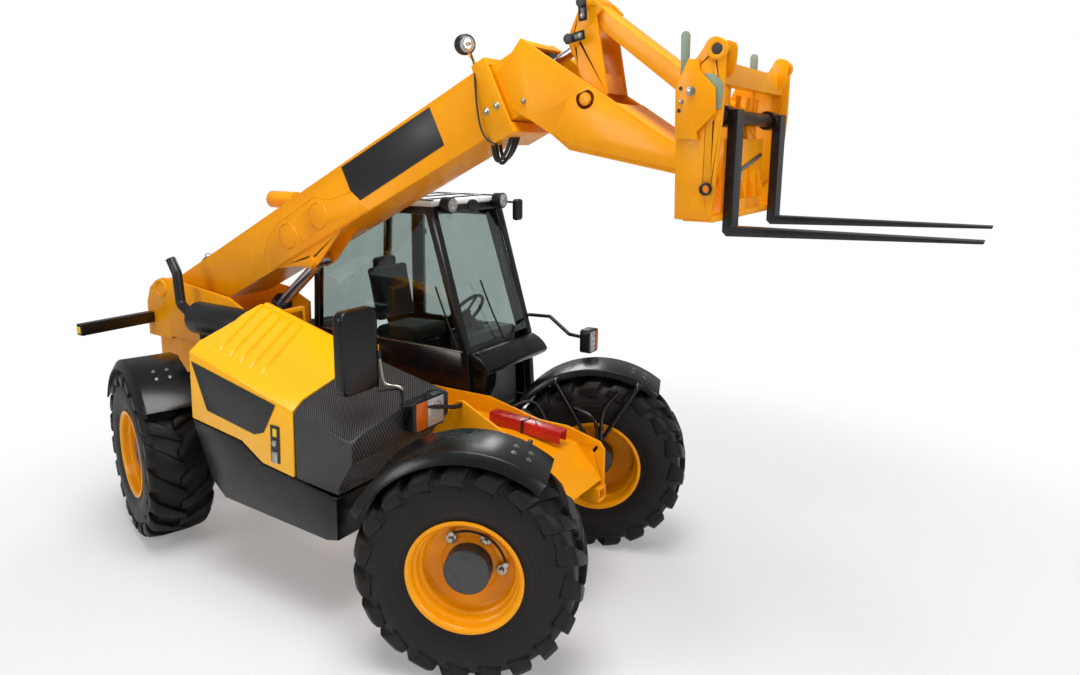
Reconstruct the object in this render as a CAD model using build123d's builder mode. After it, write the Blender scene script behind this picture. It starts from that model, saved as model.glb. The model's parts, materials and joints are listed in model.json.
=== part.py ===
from build123d import *
from math import sin, cos, radians, degrees, atan2, hypot, sqrt
import os

# Telehandler: a rough-terrain telescopic handler with pallet forks.
# Frame: +X forward, +Y to the machine's left, +Z up, millimetres.
# The origin lies on the ground, under the middle of the whole machine.

# ---------------------------------------------------------------- driving sizes
WHEELBASE = 2800
FRONT_AXLE_X = 727                      # front axle ahead of the origin
REAR_AXLE_X = FRONT_AXLE_X - WHEELBASE
KINGPIN_Y = 724                         # kingpin axis from the centre plane
KINGPIN_TO_WHEEL = 138                  # kingpin axis to the tyre's middle plane

TYRE_RADIUS = 630                       # out to the lugs' tips
TYRE_HALF_WIDTH = 222
LUG_HEIGHT = 38
LUGS = 19                               # lugs round each side of the tyre
LUG_LEAD = 150                          # how far a lug's inner end leads its outer end
LUG_INNER, LUG_OUTER = 56, 118          # lug's width at its inner end and at the shoulder
RIM_RADIUS = 305                        # bead seat
RIM_FLANGE = 18
RIM_HALF_WIDTH = 205
RIM_GAUGE = 14                          # thickness of the rim's barrel
DISC_X, DISC_T = 40, 16                 # outer face of the wheel disc, from the wheel's middle plane
HUB_R, HUB_CAP_R, HUB_CAP_X = 116, 128, 148

STEER = {                               # steering angle of each wheel, anticlockwise positive
    "front_right": 23.7,
    "front_left": 21.0,
    "rear_right": -18.5,
    "rear_left": -17.0,
}

PLATE_OUT = 218                         # outer face of the main chassis plates
PLATE_T = 20
AXLE_TOP = 760                          # underside of the chassis over the axles
BELLY_Z = 430                           # underside of the chassis between the axles
CHASSIS_REAR = -3010
TOWER_OUT = 310                         # outer face of the tower plates
TOWER_T = 20

BOOM_ANGLE = 26.2                       # the boom's rise as it stands
PIVOT_X, PIVOT_Z = -2804, 1698          # boom pivot
BOOM_HALF_WIDTH = 190
BOOM_TOP, BOOM_BOTTOM = 42, -340        # from the pivot, square to the boom
BOOM_LENGTH = 3600                      # pivot to the mouth of the outer boom
BOOM_WALL = 10
CANISTER_R = 66
SLIDE_GAP = 12                          # inner boom to outer boom
INNER_REAR = 1150                       # inner boom's rear end, along the boom
LIFT_PIN = (1661, -431)                 # lift ram's upper pin, along and square to the boom
LIFT_FOOT = (-2950, 550)                # lift ram's lower pin on the chassis, x and z
LIFT_Y = -90                            # lift ram's centre line
TILT_FOOT = (3200, -140)                # tilt ram's foot inside the inner boom
NOSE_HALF_WIDTH = 175
NOSE_T = 20
LEVER_PIVOT = (1069, 3113)              # tilt lever's pivot on the nose, x and z
LEVER_TOP = (1033, 3611)                # tilt link's pin on the lever
LEVER_RAM = (963, 3431)                 # tilt ram's pin on the lever
LEVER_OUT, LEVER_T = 130, 20
LINK_END = (1800, 3033)                 # tilt link's pin on the carriage
CARRIAGE_PIVOT = (1800, 2700)           # carriage pivot at the tip of the nose
EAR_IN, EAR_T = 182, 25                 # carriage ears either side of the nose
CARRIAGE_OUT, CARRIAGE_T = 550, 20      # outer face of the carriage's end plates
SHAFT = (1900, 3000)                    # shaft the forks hang on
FORK_FACE_X, FORK_Z, FORK_LENGTH = 1934, 2446, 1060
FORK_Y = (-366, 370)                    # centre of each fork
FORK_W, FORK_T = 100, 45
FORK_TOP = FORK_Z + FORK_T
COUPLER_R = 20                          # coupler pin holes low in the carriage's end plates

PIN_R = 25                              # common pin
PIVOT_R = 55                            # boom pivot
RUN = 0.05                              # radial clearance of a pin in its bore
FIT = 0.3                               # gap between pieces that seat on each other

CAB_RIGHT, CAB_LEFT = 245, 1105         # outer faces of the cab's side walls
CAB_WALL = 30
CAB_ROOF_Z = 2440
CAB_WAIST_Z = 1430
CAB_FLOOR_Z = 850
CAB_FRONT_TOP, CAB_FRONT_WAIST = -360, -60
WHEEL_SWING = TYRE_RADIUS + 163         # room kept ahead of the rear axle for the steered wheel
CAB_REAR_FOOT = REAR_AXLE_X + WHEEL_SWING
CAB_REAR = CAB_REAR_FOOT - 320
TANK_REAR, TANK_FRONT = CAB_REAR_FOOT + 10, -40
TANK_LOW, TANK_TOP = 470, CAB_FLOOR_Z - 70

POD_OUT, POD_IN = -1080, -420           # engine pod, outer and inner face
POD_REAR, POD_FRONT = -1345, -15
BONNET_FRONT_X = -370                   # seam of bonnet and grille


# ---------------------------------------------------------------- helpers
def side(x=0.0, y=0.0, z=0.0, tilt=0.0):
    """Upright plane along the machine: sketch X runs forward, sketch Y runs up, normal is -Y."""
    a = radians(tilt)
    return Plane(origin=(x, y, z), x_dir=(cos(a), 0, sin(a)), z_dir=(0, -1, 0))


def across(x=0.0):
    """Upright plane across the machine: sketch X runs to the left, sketch Y runs up, normal is +X."""
    return Plane(origin=(x, 0, 0), x_dir=(0, 1, 0), z_dir=(1, 0, 0))


def boom_plane(y=0.0):
    """Plane along the boom: sketch X runs out along it, sketch Y square to it, origin at the pivot."""
    return side(PIVOT_X, y, PIVOT_Z, BOOM_ANGLE)


def on_boom(u, v, y=0.0):
    """A point given along (u) and square to (v) the boom, in the machine's frame."""
    a = radians(BOOM_ANGLE)
    return (PIVOT_X + u * cos(a) - v * sin(a), y, PIVOT_Z + u * sin(a) + v * cos(a))


def off_boom(x, z):
    """The way back: how far along and square to the boom a point of the machine's frame lies."""
    a = radians(BOOM_ANGLE)
    x, z = x - PIVOT_X, z - PIVOT_Z
    return x * cos(a) + z * sin(a), z * cos(a) - x * sin(a)


def plate(plane, amount, *points, both=False, mode=Mode.ADD):
    """A flat plate of the part being made, from its outline."""
    with BuildSketch(plane) as profile:
        Polygon(*points, align=None)
    extrude(profile.sketch, amount=amount, both=both, mode=mode)


def disc(plane, radius, amount, both=False, mode=Mode.ADD):
    """A round boss, pin or hole of the part being made."""
    with BuildSketch(plane) as profile:
        Circle(radius)
    extrude(profile.sketch, amount=amount, both=both, mode=mode)


def tube(radius, bend, *points):
    """A round bar of the part being made, bent to a radius at each corner."""
    with BuildLine() as path:
        FilletPolyline(*points, radius=bend)
    with BuildSketch(Plane(origin=path.line @ 0, z_dir=path.line % 0)) as ring:
        Circle(radius)
    sweep(ring.sketch, path=path.line)


def save(part, name):
    part.label = name
    export_step(part, f"parts/{name}.step")


os.makedirs("parts", exist_ok=True)

# ---------------------------------------------------------------- chassis
MAIN_REAR = [
    (-300, 1160), (-2100, 1100), (-2350, 1300), (CHASSIS_REAR, 1300), (CHASSIS_REAR, 480), (-2860, 480),
    (-2300, AXLE_TOP), (REAR_AXLE_X + 423, AXLE_TOP), (REAR_AXLE_X + 573, BELLY_Z), (180, BELLY_Z), (330, AXLE_TOP),
]
MAIN_FRONT = {                          # the right plate falls with the front plate, the left one stands up to its end
    "right": [(1052, AXLE_TOP), (851, 990), (575, 1112), (242, 1265), (190, 1255), (130, 1165)],
    "left": [(1000, AXLE_TOP), (1000, 690), (1052, 690), (1052, 975), (1015, 1022), (776, 1079), (563, 1079),
             (165, 1165)],
}
TOWER_SIDE = [
    (-3020, 1300), (-3020, 1560), (-2965, 1690), (-2880, 1755), (-2780, 1788),
    (-2500, 1770), (-1930, 1710), (-1700, 1610), (-1700, 1440), (-2350, 1300),
]
with BuildPart() as chassis:
    for y, front in ((PLATE_T - PLATE_OUT, MAIN_FRONT["right"]), (PLATE_OUT, MAIN_FRONT["left"])):
        plate(side(y=y), PLATE_T, *MAIN_REAR, *front)
    for y in (TOWER_T - TOWER_OUT, TOWER_OUT):
        plate(side(y=y), TOWER_T, *TOWER_SIDE)
        disc(side(PIVOT_X, y, PIVOT_Z), PIVOT_R + RUN, TOWER_T, mode=Mode.SUBTRACT)
    # rear closing plate and shelf between the tower plates
    plate(side(y=TOWER_OUT), 2 * TOWER_OUT, (-3020, 1280), (-3020, 1500), (-3000, 1500), (-3000, 1300),
          (-2700, 1300), (-2700, 1280))
    # cross plates between the main plates, low enough to clear the lift ram
    for x, low, high in ((CHASSIS_REAR, 700, 1290), (-1700, AXLE_TOP + 10, 900), (-620, BELLY_Z + 10, 900)):
        plate(side(y=PLATE_OUT), 2 * PLATE_OUT, (x, low), (x, high), (x + 16, high), (x + 16, low))
    # ears and pin for the lift ram's foot
    for y in (LIFT_Y - 76, LIFT_Y + 96):
        plate(side(y=y), 20, (CHASSIS_REAR, 480), (-2860, 480), (LIFT_FOOT[0] + 55, LIFT_FOOT[1] + 20),
              (LIFT_FOOT[0] - 10, LIFT_FOOT[1] + 70), (CHASSIS_REAR, LIFT_FOOT[1] + 60))
    plate(side(y=PLATE_OUT), 2 * PLATE_OUT, (CHASSIS_REAR, 480), (-2860, 480), (-2860, 492), (CHASSIS_REAR, 492))
    disc(side(LIFT_FOOT[0], LIFT_Y + 98, LIFT_FOOT[1]), PIN_R, 196)
    plate(side(y=PLATE_OUT), 2 * PLATE_OUT, (-1500, BELLY_Z), (180, BELLY_Z), (180, BELLY_Z + 12),
          (-1500, BELLY_Z + 12))
    # outriggers under the pod and under the cab
    for x in (-980, -230):
        plate(side(x, -PLATE_OUT + 1), 840 - 18, (-30, 640 + FIT), (30, 640 + FIT), (30, 700), (-30, 700))
    for x in (CAB_REAR_FOOT + 130, -190):
        plate(side(x, 1000), 1000 - PLATE_OUT + 1, (-30, CAB_FLOOR_Z - 60), (30, CAB_FLOOR_Z - 60),
              (30, CAB_FLOOR_Z - FIT), (-30, CAB_FLOOR_Z - FIT))
    # rail along the bonnet's hinge line, on two posts
    plate(side(y=-400), 20 - FIT, (POD_REAR, 1757), (BONNET_FRONT_X, 1517), (BONNET_FRONT_X, 1467), (POD_REAR, 1707))
    for x, z in ((-1200, 1700), (-480, 1520)):
        with Locations((x, -(400 + PLATE_OUT) / 2, z)):
            Box(40, 402 - PLATE_OUT, 30)
        with Locations((x, -PLATE_OUT - 9, (z + 1040) / 2)):
            Box(40, 20, z - 1040 + 30)
    # deck, sloping front plate and its folded lip
    plate(side(y=PLATE_OUT), 2 * PLATE_OUT, (847, 985), (1040, 775), (1028, 765), (838, 970), (500, 1030),
          (-300, 1030), (-300, 1045), (503, 1045))
    # latch housing low on the left plate, open to the front
    for low, high in ((650, 664), (726, 740)):
        plate(side(y=PLATE_OUT), 100, (925, low), (1062, low), (1062, high), (925, high))
    for y in (PLATE_OUT, PLATE_OUT - 86):
        plate(side(y=y), 14, (925, 650), (1062, 650), (1062, 740), (925, 740))
    disc(Plane(origin=(1030, PLATE_OUT - 50, 655)), 14, 80)
    # lashing eye in the left plate
    with BuildSketch(side(985, PLATE_OUT + 1, 965)):
        SlotCenterToCenter(36, 22, rotation=55)
    extrude(amount=PLATE_T + 2, mode=Mode.SUBTRACT)
    # boom pivot bosses
    for y in (TOWER_T - TOWER_OUT, TOWER_OUT + 12):
        with BuildSketch(side(PIVOT_X, y, PIVOT_Z)):
            Circle(75)
            Circle(PIVOT_R + RUN, mode=Mode.SUBTRACT)
        extrude(amount=TOWER_T + 12)
save(chassis.part, "chassis")

# ---------------------------------------------------------------- axles
KINGPIN_R, KINGPIN_FIT = 18, 0.08
AXLE_END = KINGPIN_Y - 95
with BuildPart() as axles:
    for x in (FRONT_AXLE_X, REAR_AXLE_X):
        with BuildSketch(Plane(origin=(x, -AXLE_END, TYRE_RADIUS), x_dir=(1, 0, 0), z_dir=(0, 1, 0))):
            RectangleRounded(150, 150, 40)
        extrude(amount=2 * AXLE_END)
        with Locations((x, 0, TYRE_RADIUS)):
            Sphere(165)
        plate(side(x, PLATE_OUT), 2 * PLATE_OUT, (-150, AXLE_TOP - FIT), (150, AXLE_TOP - FIT), (110, 640),
              (-110, 640))
        for s in (-1, 1):
            for z in (TYRE_RADIUS + 75, TYRE_RADIUS - 105):
                with BuildSketch(Plane.XY.offset(z)):
                    with Locations((x, s * (KINGPIN_Y - 50))):
                        Rectangle(90, 110)
                    with Locations((x, s * KINGPIN_Y)):
                        Circle(45)
                extrude(amount=30)
            plate(side(x, s * AXLE_END + 20), 40, (-45, -105 + TYRE_RADIUS), (45, -105 + TYRE_RADIUS),
                  (45, 105 + TYRE_RADIUS), (-45, 105 + TYRE_RADIUS))
            with BuildSketch(Plane.XY.offset(TYRE_RADIUS - 106)):
                with Locations((x, s * KINGPIN_Y)):
                    Circle(KINGPIN_R + KINGPIN_FIT)
            extrude(amount=212, mode=Mode.SUBTRACT)
save(axles.part, "axles")


# ---------------------------------------------------------------- wheels, knuckles, mudguards
def corner(name):
    """Kingpin, outward axis and wheel centre of one corner of the machine."""
    x = FRONT_AXLE_X if name.startswith("front") else REAR_AXLE_X
    s = -1 if name.endswith("right") else 1
    a = radians(STEER[name])
    outward = Vector(-s * sin(a), s * cos(a), 0)
    forward = Vector(cos(a), sin(a), 0)
    kingpin = Vector(x, s * KINGPIN_Y, TYRE_RADIUS)
    return kingpin, outward, forward, kingpin + outward * KINGPIN_TO_WHEEL


HUB_START = 52
BEAD = RIM_HALF_WIDTH - 10 - FIT
CROWN = TYRE_RADIUS - LUG_HEIGHT
LUG_FOOT = TYRE_RADIUS - 130            # how far down the sidewall a lug's outer end runs
ALONG_AXLE = Plane(origin=(0, 0, 0), x_dir=(0, 1, 0), z_dir=(1, 0, 0))     # sketch X along the axle, Y up
with BuildPart() as lug:
    # one lug on the left half, at the top of the tyre: raked bar, trimmed by the tread's outline
    with BuildSketch(Plane.XY.offset(LUG_FOOT)):
        Polygon((LUG_INNER / 2, -18), (-LUG_INNER / 2, -18), (-LUG_LEAD - LUG_OUTER / 2, TYRE_HALF_WIDTH),
                (-LUG_LEAD + LUG_OUTER / 2, TYRE_HALF_WIDTH), align=None)
    extrude(amount=TYRE_RADIUS + 10 - LUG_FOOT)
    with BuildSketch(ALONG_AXLE):
        Polygon((-20, LUG_FOOT - 40), (-20, TYRE_RADIUS), (90, TYRE_RADIUS), (TYRE_HALF_WIDTH - 34, TYRE_RADIUS - 14),
                (TYRE_HALF_WIDTH - 4, TYRE_RADIUS - 50), (TYRE_HALF_WIDTH - 6, LUG_FOOT + 10),
                (TYRE_HALF_WIDTH - 14, LUG_FOOT - 40), align=None)
    revolve(axis=Axis.Y, mode=Mode.INTERSECT)
with BuildPart() as tyre:
    with BuildSketch(ALONG_AXLE):
        with BuildLine():
            bead_in = Line((-BEAD, RIM_RADIUS + FIT), (-BEAD, RIM_RADIUS + 30))
            wall_in = ThreePointArc(bead_in @ 1, (-TYRE_HALF_WIDTH, 440), (-TYRE_HALF_WIDTH + 22, CROWN - 50))
            crown = Polyline(wall_in @ 1, (-TYRE_HALF_WIDTH + 62, CROWN - 9), (-90, CROWN), (90, CROWN),
                             (TYRE_HALF_WIDTH - 62, CROWN - 9), (TYRE_HALF_WIDTH - 22, CROWN - 50))
            wall_out = ThreePointArc(crown @ 1, (TYRE_HALF_WIDTH, 440), (BEAD, RIM_RADIUS + 30))
            Line(wall_out @ 1, (BEAD, RIM_RADIUS + FIT))
            Line((BEAD, RIM_RADIUS + FIT), bead_in @ 0)
        make_face()
    revolve(axis=Axis.Y)
    # left and right lugs, half a pitch apart
    other = mirror(lug.part, about=Plane.XZ, mode=Mode.PRIVATE)
    add([Rotation(0, 360 * k / LUGS, 0) * lug.part for k in range(LUGS)]
        + [Rotation(0, 360 * (k + 0.5) / LUGS, 0) * other for k in range(LUGS)])

GUARD_IN, GUARD_OUT = -KINGPIN_TO_WHEEL - 40, 225
GUARD_T = 12
GUARD_CLEAR = 58                        # lugs to the underside of the guard
GUARD_RADIUS = TYRE_RADIUS + GUARD_CLEAR + GUARD_T
STAY_R, STAY_IN = 15, 244
GUARD_REACH = {"front": (38, 63), "rear": (50, 63)}   # degrees ahead of and behind the crest
BARREL = RIM_RADIUS - RIM_GAUGE
# rim's section as side, distance from the middle plane, radius: the tyre's side first, then the dished side,
# the hub cap and the back
RIM_OUTSIDE = [
    (-1, RIM_HALF_WIDTH, RIM_RADIUS + RIM_FLANGE), (-1, RIM_HALF_WIDTH - 10, RIM_RADIUS + RIM_FLANGE),
    (-1, RIM_HALF_WIDTH - 10, RIM_RADIUS), (-1, 60, RIM_RADIUS), (-1, 40, RIM_RADIUS - 20), (1, 40, RIM_RADIUS - 20),
    (1, 60, RIM_RADIUS), (1, RIM_HALF_WIDTH - 10, RIM_RADIUS), (1, RIM_HALF_WIDTH - 10, RIM_RADIUS + RIM_FLANGE),
    (1, RIM_HALF_WIDTH, RIM_RADIUS + RIM_FLANGE),
]
RIM_INSIDE = [
    (1, RIM_HALF_WIDTH, BARREL + 14), (1, RIM_HALF_WIDTH - 17, BARREL), (1, 150, BARREL), (1, 142, BARREL - 15),
    (1, 100, BARREL - 19), (1, 92, BARREL - 33), (1, 56, BARREL - 37), (1, DISC_X + 4, BARREL - 51),
    (1, DISC_X, 165), (1, DISC_X + 12, 150), (1, DISC_X + 12, HUB_CAP_R), (1, HUB_CAP_X - 6, HUB_CAP_R),
    (1, HUB_CAP_X, HUB_CAP_R - 8), (1, HUB_CAP_X, 0), (1, 70, 0), (1, 70, HUB_R + RUN),
    (1, DISC_X - DISC_T, HUB_R + RUN), (1, DISC_X - DISC_T, BARREL - 51), (1, 10, BARREL - 33),
    (-1, 92, BARREL - 19), (-1, 110, BARREL), (-1, RIM_HALF_WIDTH - 17, BARREL), (-1, RIM_HALF_WIDTH, BARREL + 14),
]
for name in STEER:
    kingpin, outward, forward, centre = corner(name)
    # sketch X runs outward along the axle, sketch Y runs up from it
    section = Plane(origin=centre, x_dir=outward, z_dir=outward.cross(Vector(0, 0, 1)))
    axis = Axis(centre, outward)

    save(tyre.part.moved(Location(centre, (0, 0, STEER[name]))), f"tyre_{name}")

    with BuildPart() as rim:
        with BuildSketch(section):
            Polygon(*[(s * x, r) for s, x, r in RIM_OUTSIDE], *[(s * x, r) for s, x, r in RIM_INSIDE], align=None)
        revolve(axis=axis)
    save(rim.part, f"rim_{name}")

    with BuildPart() as knuckle:
        # swivel yoke between the axle's two eyes, stub hub out to the wheel disc
        with BuildSketch(Plane.XY.offset(TYRE_RADIUS - 74)):
            with Locations((kingpin.X, kingpin.Y)):
                Circle(70)
        extrude(amount=148)
        with BuildSketch(Plane(origin=kingpin + outward * HUB_START, x_dir=forward, z_dir=outward)):
            Circle(HUB_R)
        extrude(amount=KINGPIN_TO_WHEEL + 69 - HUB_START)
        with BuildSketch(Plane(origin=kingpin, x_dir=forward, z_dir=outward)):
            Rectangle(90, 140)
        extrude(amount=HUB_START)
        with BuildSketch(Plane(origin=kingpin - Vector(0, 0, 74), x_dir=forward, z_dir=(0, 0, -1))):
            Circle(KINGPIN_R)
        extrude(amount=62)
        with BuildSketch(Plane(origin=kingpin + Vector(0, 0, 74), x_dir=forward, z_dir=(0, 0, 1))):
            Circle(KINGPIN_R)
        extrude(amount=62)
    save(knuckle.part, f"knuckle_{name}")

    with BuildPart() as guard:
        # a curved top with a down-turned outer flange, swept about the axle
        ahead, behind = GUARD_REACH[name.split("_")[0]]
        first = radians(ahead) if name.endswith("right") else radians(-behind)
        up = Vector(0, 0, 1) * cos(first) + forward * sin(first)
        with BuildSketch(Plane(origin=centre, x_dir=outward, z_dir=outward.cross(up))):
            Polygon((GUARD_IN, GUARD_RADIUS - 44), (GUARD_IN + 18, GUARD_RADIUS), (GUARD_OUT - 40, GUARD_RADIUS),
                    (GUARD_OUT, GUARD_RADIUS - 60), (GUARD_OUT - GUARD_T, GUARD_RADIUS - 64),
                    (GUARD_OUT - 46, GUARD_RADIUS - GUARD_T), (GUARD_IN + 27, GUARD_RADIUS - GUARD_T),
                    (GUARD_IN + GUARD_T, GUARD_RADIUS - 48), align=None)
        revolve(axis=axis, revolution_arc=ahead + behind)
        # two stays from a foot on the kingpin, up inside the tyre and out under the guard
        foot = kingpin + Vector(0, 0, 136 + FIT)
        disc(Plane(origin=foot, z_dir=(0, 0, 1)), 40, 30)
        for lean in (-25, 25):
            spoke = Vector(0, 0, 1) * cos(radians(lean)) + forward * sin(radians(lean))
            tube(STAY_R, 22, foot + Vector(0, 0, 17), centre - outward * STAY_IN + Vector(0, 0, 175) + forward * lean,
                 centre - outward * STAY_IN + spoke * (GUARD_RADIUS - GUARD_T - STAY_R + 4),
                 centre + outward * 60 + spoke * (GUARD_RADIUS - GUARD_T - STAY_R + 4))
    save(guard.part, f"mudguard_{name}")

# ---------------------------------------------------------------- engine pod
with BuildPart() as engine:
    with Locations((-680, -640, 990)):
        Box(900, 420, 540)
    for x in (-1030, -320):
        with Locations((x, (-431 - PLATE_OUT - FIT) / 2, 900)):
            Box(80, 431 - PLATE_OUT - FIT, 60)
save(engine.part, "engine_block")

# stations of the bonnet, rear and front: outline across the machine, height at the front is lower
BONNET_EDGE = [(POD_REAR, 1085), (-847, 1034), (-656, 932), (-362, 904)]    # seam of bonnet and skirt
SEAM = 4
BONNET_REAR = [(POD_OUT, 880), (POD_OUT + 15, 1540), (POD_OUT + 90, 1590), (POD_IN, 1760), (POD_IN, 880)]
BONNET_FRONT = [(POD_OUT, 880), (POD_OUT + 15, 1320), (POD_OUT + 90, 1370), (POD_IN, 1520), (POD_IN, 880)]
SKIN = 16
BANDS, BAND_WIDTH, BAND_PITCH = 6, 92, 150
with BuildPart() as bonnet:
    with BuildSketch(across(POD_REAR)):
        Polygon(*BONNET_REAR, align=None)
    with BuildSketch(across(BONNET_FRONT_X)):
        Polygon(*BONNET_FRONT, align=None)
    loft(ruled=True)
    with BuildSketch(across(POD_REAR + SKIN)):
        Polygon(*[(min(y + SKIN, POD_IN) if y < -500 else y + 30, z - SKIN if z > 1200 else z - 60)
                  for y, z in BONNET_REAR], align=None)
    with BuildSketch(across(BONNET_FRONT_X + 1)):
        Polygon(*[(min(y + SKIN, POD_IN) if y < -500 else y + 30, z - SKIN if z > 1200 else z - 60)
                  for y, z in BONNET_FRONT], align=None)
    loft(ruled=True, mode=Mode.SUBTRACT)
    plate(side(y=POD_IN + 10), 700, *BONNET_EDGE, (-300, 800), (POD_REAR - 10, 800), (POD_REAR - 10, 1085),
          mode=Mode.SUBTRACT)
    # raised bands across the top, from the shoulder to the hinge line
    for k in range(BANDS):
        first = POD_REAR + 70 + k * BAND_PITCH
        for x in (first, first + BAND_WIDTH):
            run = (x - POD_REAR) / (BONNET_FRONT_X - POD_REAR)
            (y0, z0), (y1, z1) = [(a[0], a[1] + run * (b[1] - a[1])) for a, b in zip(BONNET_REAR[2:4], BONNET_FRONT[2:4])]
            with BuildSketch(across(x)):
                Polygon((y0, z0 - 6), (y0 + 30, z0 + 18), (y1, z1 + 10), (y1, z1 - 6), align=None)
        loft(ruled=True)
save(bonnet.part, "bonnet")

SKIRT_SIDE = [(x, z - SEAM) for x, z in BONNET_EDGE] + [
    (POD_FRONT, 860), (POD_FRONT, 600), (-110, 575), (-1050, 600), (-1180, 700)]
with BuildPart() as skirt:
    plate(side(y=POD_OUT + 600), 600, *SKIRT_SIDE)
    plate(side(y=POD_OUT + 601), 581, (POD_REAR + 25, 1100), (POD_FRONT - 20, 1100), (POD_FRONT - 20, 640),
          (-1035, 640), (-1155, 715), mode=Mode.SUBTRACT)
save(skirt.part, "pod_skirt")

GRILLE_REAR = [(POD_OUT + 10, 900 + FIT), (POD_OUT + 15, 1320), (POD_OUT + 90, 1370), (POD_IN, 1520), (POD_IN, 900 + FIT)]
GRILLE_TIP_X = 190
GRILLE_TIP = [(POD_OUT + 30, 860), (POD_OUT + 30, 1190), (POD_OUT + 120, 1215), (POD_IN + 150, 1330), (POD_IN + 150, 860)]
ARCH = [(POD_FRONT, 600), (POD_FRONT, 920), (37, 1000), (101, 1100), (160, 1170), (250, 1220), (400, 1220), (400, 600)]
NOSE_PLAN = [(210, POD_IN + 170), (95, POD_IN + 85), (95, POD_OUT - 20), (400, POD_OUT - 20), (400, POD_IN + 170)]


def pod_nose(skin):
    """The pod's front, cut back by the wheel arch and the lamp's recess, as one solid smaller by a skin's thickness."""
    with BuildPart() as form:
        for x, outline in ((BONNET_FRONT_X + 8 - skin, GRILLE_REAR), (GRILLE_TIP_X, GRILLE_TIP)):
            with BuildSketch(across(x)):
                Polygon(*[(y + skin if y < -700 else y + 2 * skin, z - skin if z > 1000 else z - 5 * skin)
                          for y, z in outline], align=None)
        loft(ruled=True)
        plate(side(x=-skin, y=0), 1400, *ARCH, mode=Mode.SUBTRACT)
        with BuildSketch(Plane.XY.offset(400)):
            with Locations((-skin, 0)):
                Polygon(*NOSE_PLAN, align=None)
        extrude(amount=1200, mode=Mode.SUBTRACT)
        plate(side(y=0), 1400, (-700, 400), (-700, 900 + FIT - 5 * skin), (POD_FRONT, 860 + FIT - 5 * skin),
              (300, 860 + FIT - 5 * skin), (300, 400), mode=Mode.SUBTRACT)
    return form.part


with BuildPart() as grille:
    add(pod_nose(0))
    add(pod_nose(12), mode=Mode.SUBTRACT)
save(grille.part, "pod_grille")

CLEANER_Y, CLEANER_Z, CLEANER_R = -560, 1600, 120
with BuildPart() as intake:
    # ribbed air cleaner on two feet, with the exhaust stack beside its rear end
    disc(Plane(origin=(-1960, CLEANER_Y, CLEANER_Z), z_dir=(1, 0, 0)), CLEANER_R, 590)
    for x, seat_y in ((-1880, TOWER_OUT + FIT), (-1480, PLATE_OUT + FIT)):
        with Locations((x, (CLEANER_Y - seat_y) / 2 - 20, 1465)):
            Box(50, -CLEANER_Y - seat_y + 40, 40)
    with Locations((-1480, -PLATE_OUT - FIT - 10, 1260)):
        Box(50, 20, 450)
    tube(38, 60, (-2420, -450, 1990), (-2350, -450, 1880), (-2330, -450, 1640), (-2150, -470, 1560),
         (-1900, -500, 1560))
save(intake.part, "intake")

with BuildPart() as light_bar:
    # one channel each side, seated on the tower plates
    for s in (-1, 1):
        with Locations((-2960, s * (TOWER_OUT + FIT + 310), 1440)):
            Box(70, 620, 90)
save(light_bar.part, "rear_light_bar")

# ---------------------------------------------------------------- cab
CAB_SIDE = [(CAB_FRONT_WAIST + 40, CAB_FLOOR_Z), (CAB_FRONT_WAIST, CAB_WAIST_Z), (CAB_FRONT_TOP, CAB_ROOF_Z),
            (CAB_REAR + 60, CAB_ROOF_Z), (CAB_REAR, CAB_WAIST_Z), (CAB_REAR_FOOT, CAB_FLOOR_Z)]
TUBE = 55
DOOR_REAR, DOOR_FRONT = CAB_REAR_FOOT + 100, -115
DOOR_PIN = (DOOR_REAR - 6, CAB_LEFT + 16)       # door hinge line, x and y
DOOR_HINGES = (1150, 2100)


def cab_x(z, front=True):
    """The cab's front or rear edge at a height."""
    (x0, z0), (x1, z1), (x2, z2) = CAB_SIDE[:3] if front else CAB_SIDE[:2:-1]
    return x0 + (x1 - x0) * (z - z0) / (z1 - z0) if z < z1 else x1 + (x2 - x1) * (z - z1) / (z2 - z1)


with BuildPart() as cab_frame:
    for y in (CAB_RIGHT + TUBE, CAB_LEFT):
        plate(side(y=y), TUBE, *CAB_SIDE)
        plate(side(y=y), TUBE, (CAB_FRONT_WAIST + 40 - TUBE, CAB_FLOOR_Z + TUBE),
              (CAB_FRONT_WAIST - TUBE, CAB_WAIST_Z), (CAB_FRONT_TOP - TUBE, CAB_ROOF_Z - TUBE),
              (CAB_REAR + 60 + TUBE, CAB_ROOF_Z - TUBE), (CAB_REAR + TUBE, CAB_WAIST_Z),
              (CAB_REAR_FOOT + TUBE, CAB_FLOOR_Z + TUBE), mode=Mode.SUBTRACT)
    # door post
    plate(side(y=CAB_LEFT), TUBE, (DOOR_REAR - 60, CAB_FLOOR_Z + 20), (DOOR_REAR - 4, CAB_FLOOR_Z + 20),
          (DOOR_REAR - 4, CAB_ROOF_Z - 20), (DOOR_REAR - 60, CAB_ROOF_Z - 20))
    for z in DOOR_HINGES:
        disc(Plane(origin=(DOOR_PIN[0], DOOR_PIN[1], z)), 14, 30)
        disc(Plane(origin=(DOOR_PIN[0], DOOR_PIN[1], z)), 6, 75)
        with Locations((DOOR_PIN[0] - 15, CAB_LEFT + 3, z + 15)):
            Box(30, 6, 30)
    for x, z in ((CAB_FRONT_TOP - TUBE, CAB_ROOF_Z - TUBE), (CAB_REAR + 60, CAB_ROOF_Z - TUBE),
                 (CAB_FRONT_WAIST + 40 - TUBE, CAB_FLOOR_Z), (CAB_REAR_FOOT, CAB_FLOOR_Z)):
        plate(side(y=CAB_LEFT), CAB_LEFT - CAB_RIGHT, (x, z), (x + TUBE, z), (x + TUBE, z + TUBE), (x, z + TUBE))
save(cab_frame.part, "cab_frame")

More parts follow.
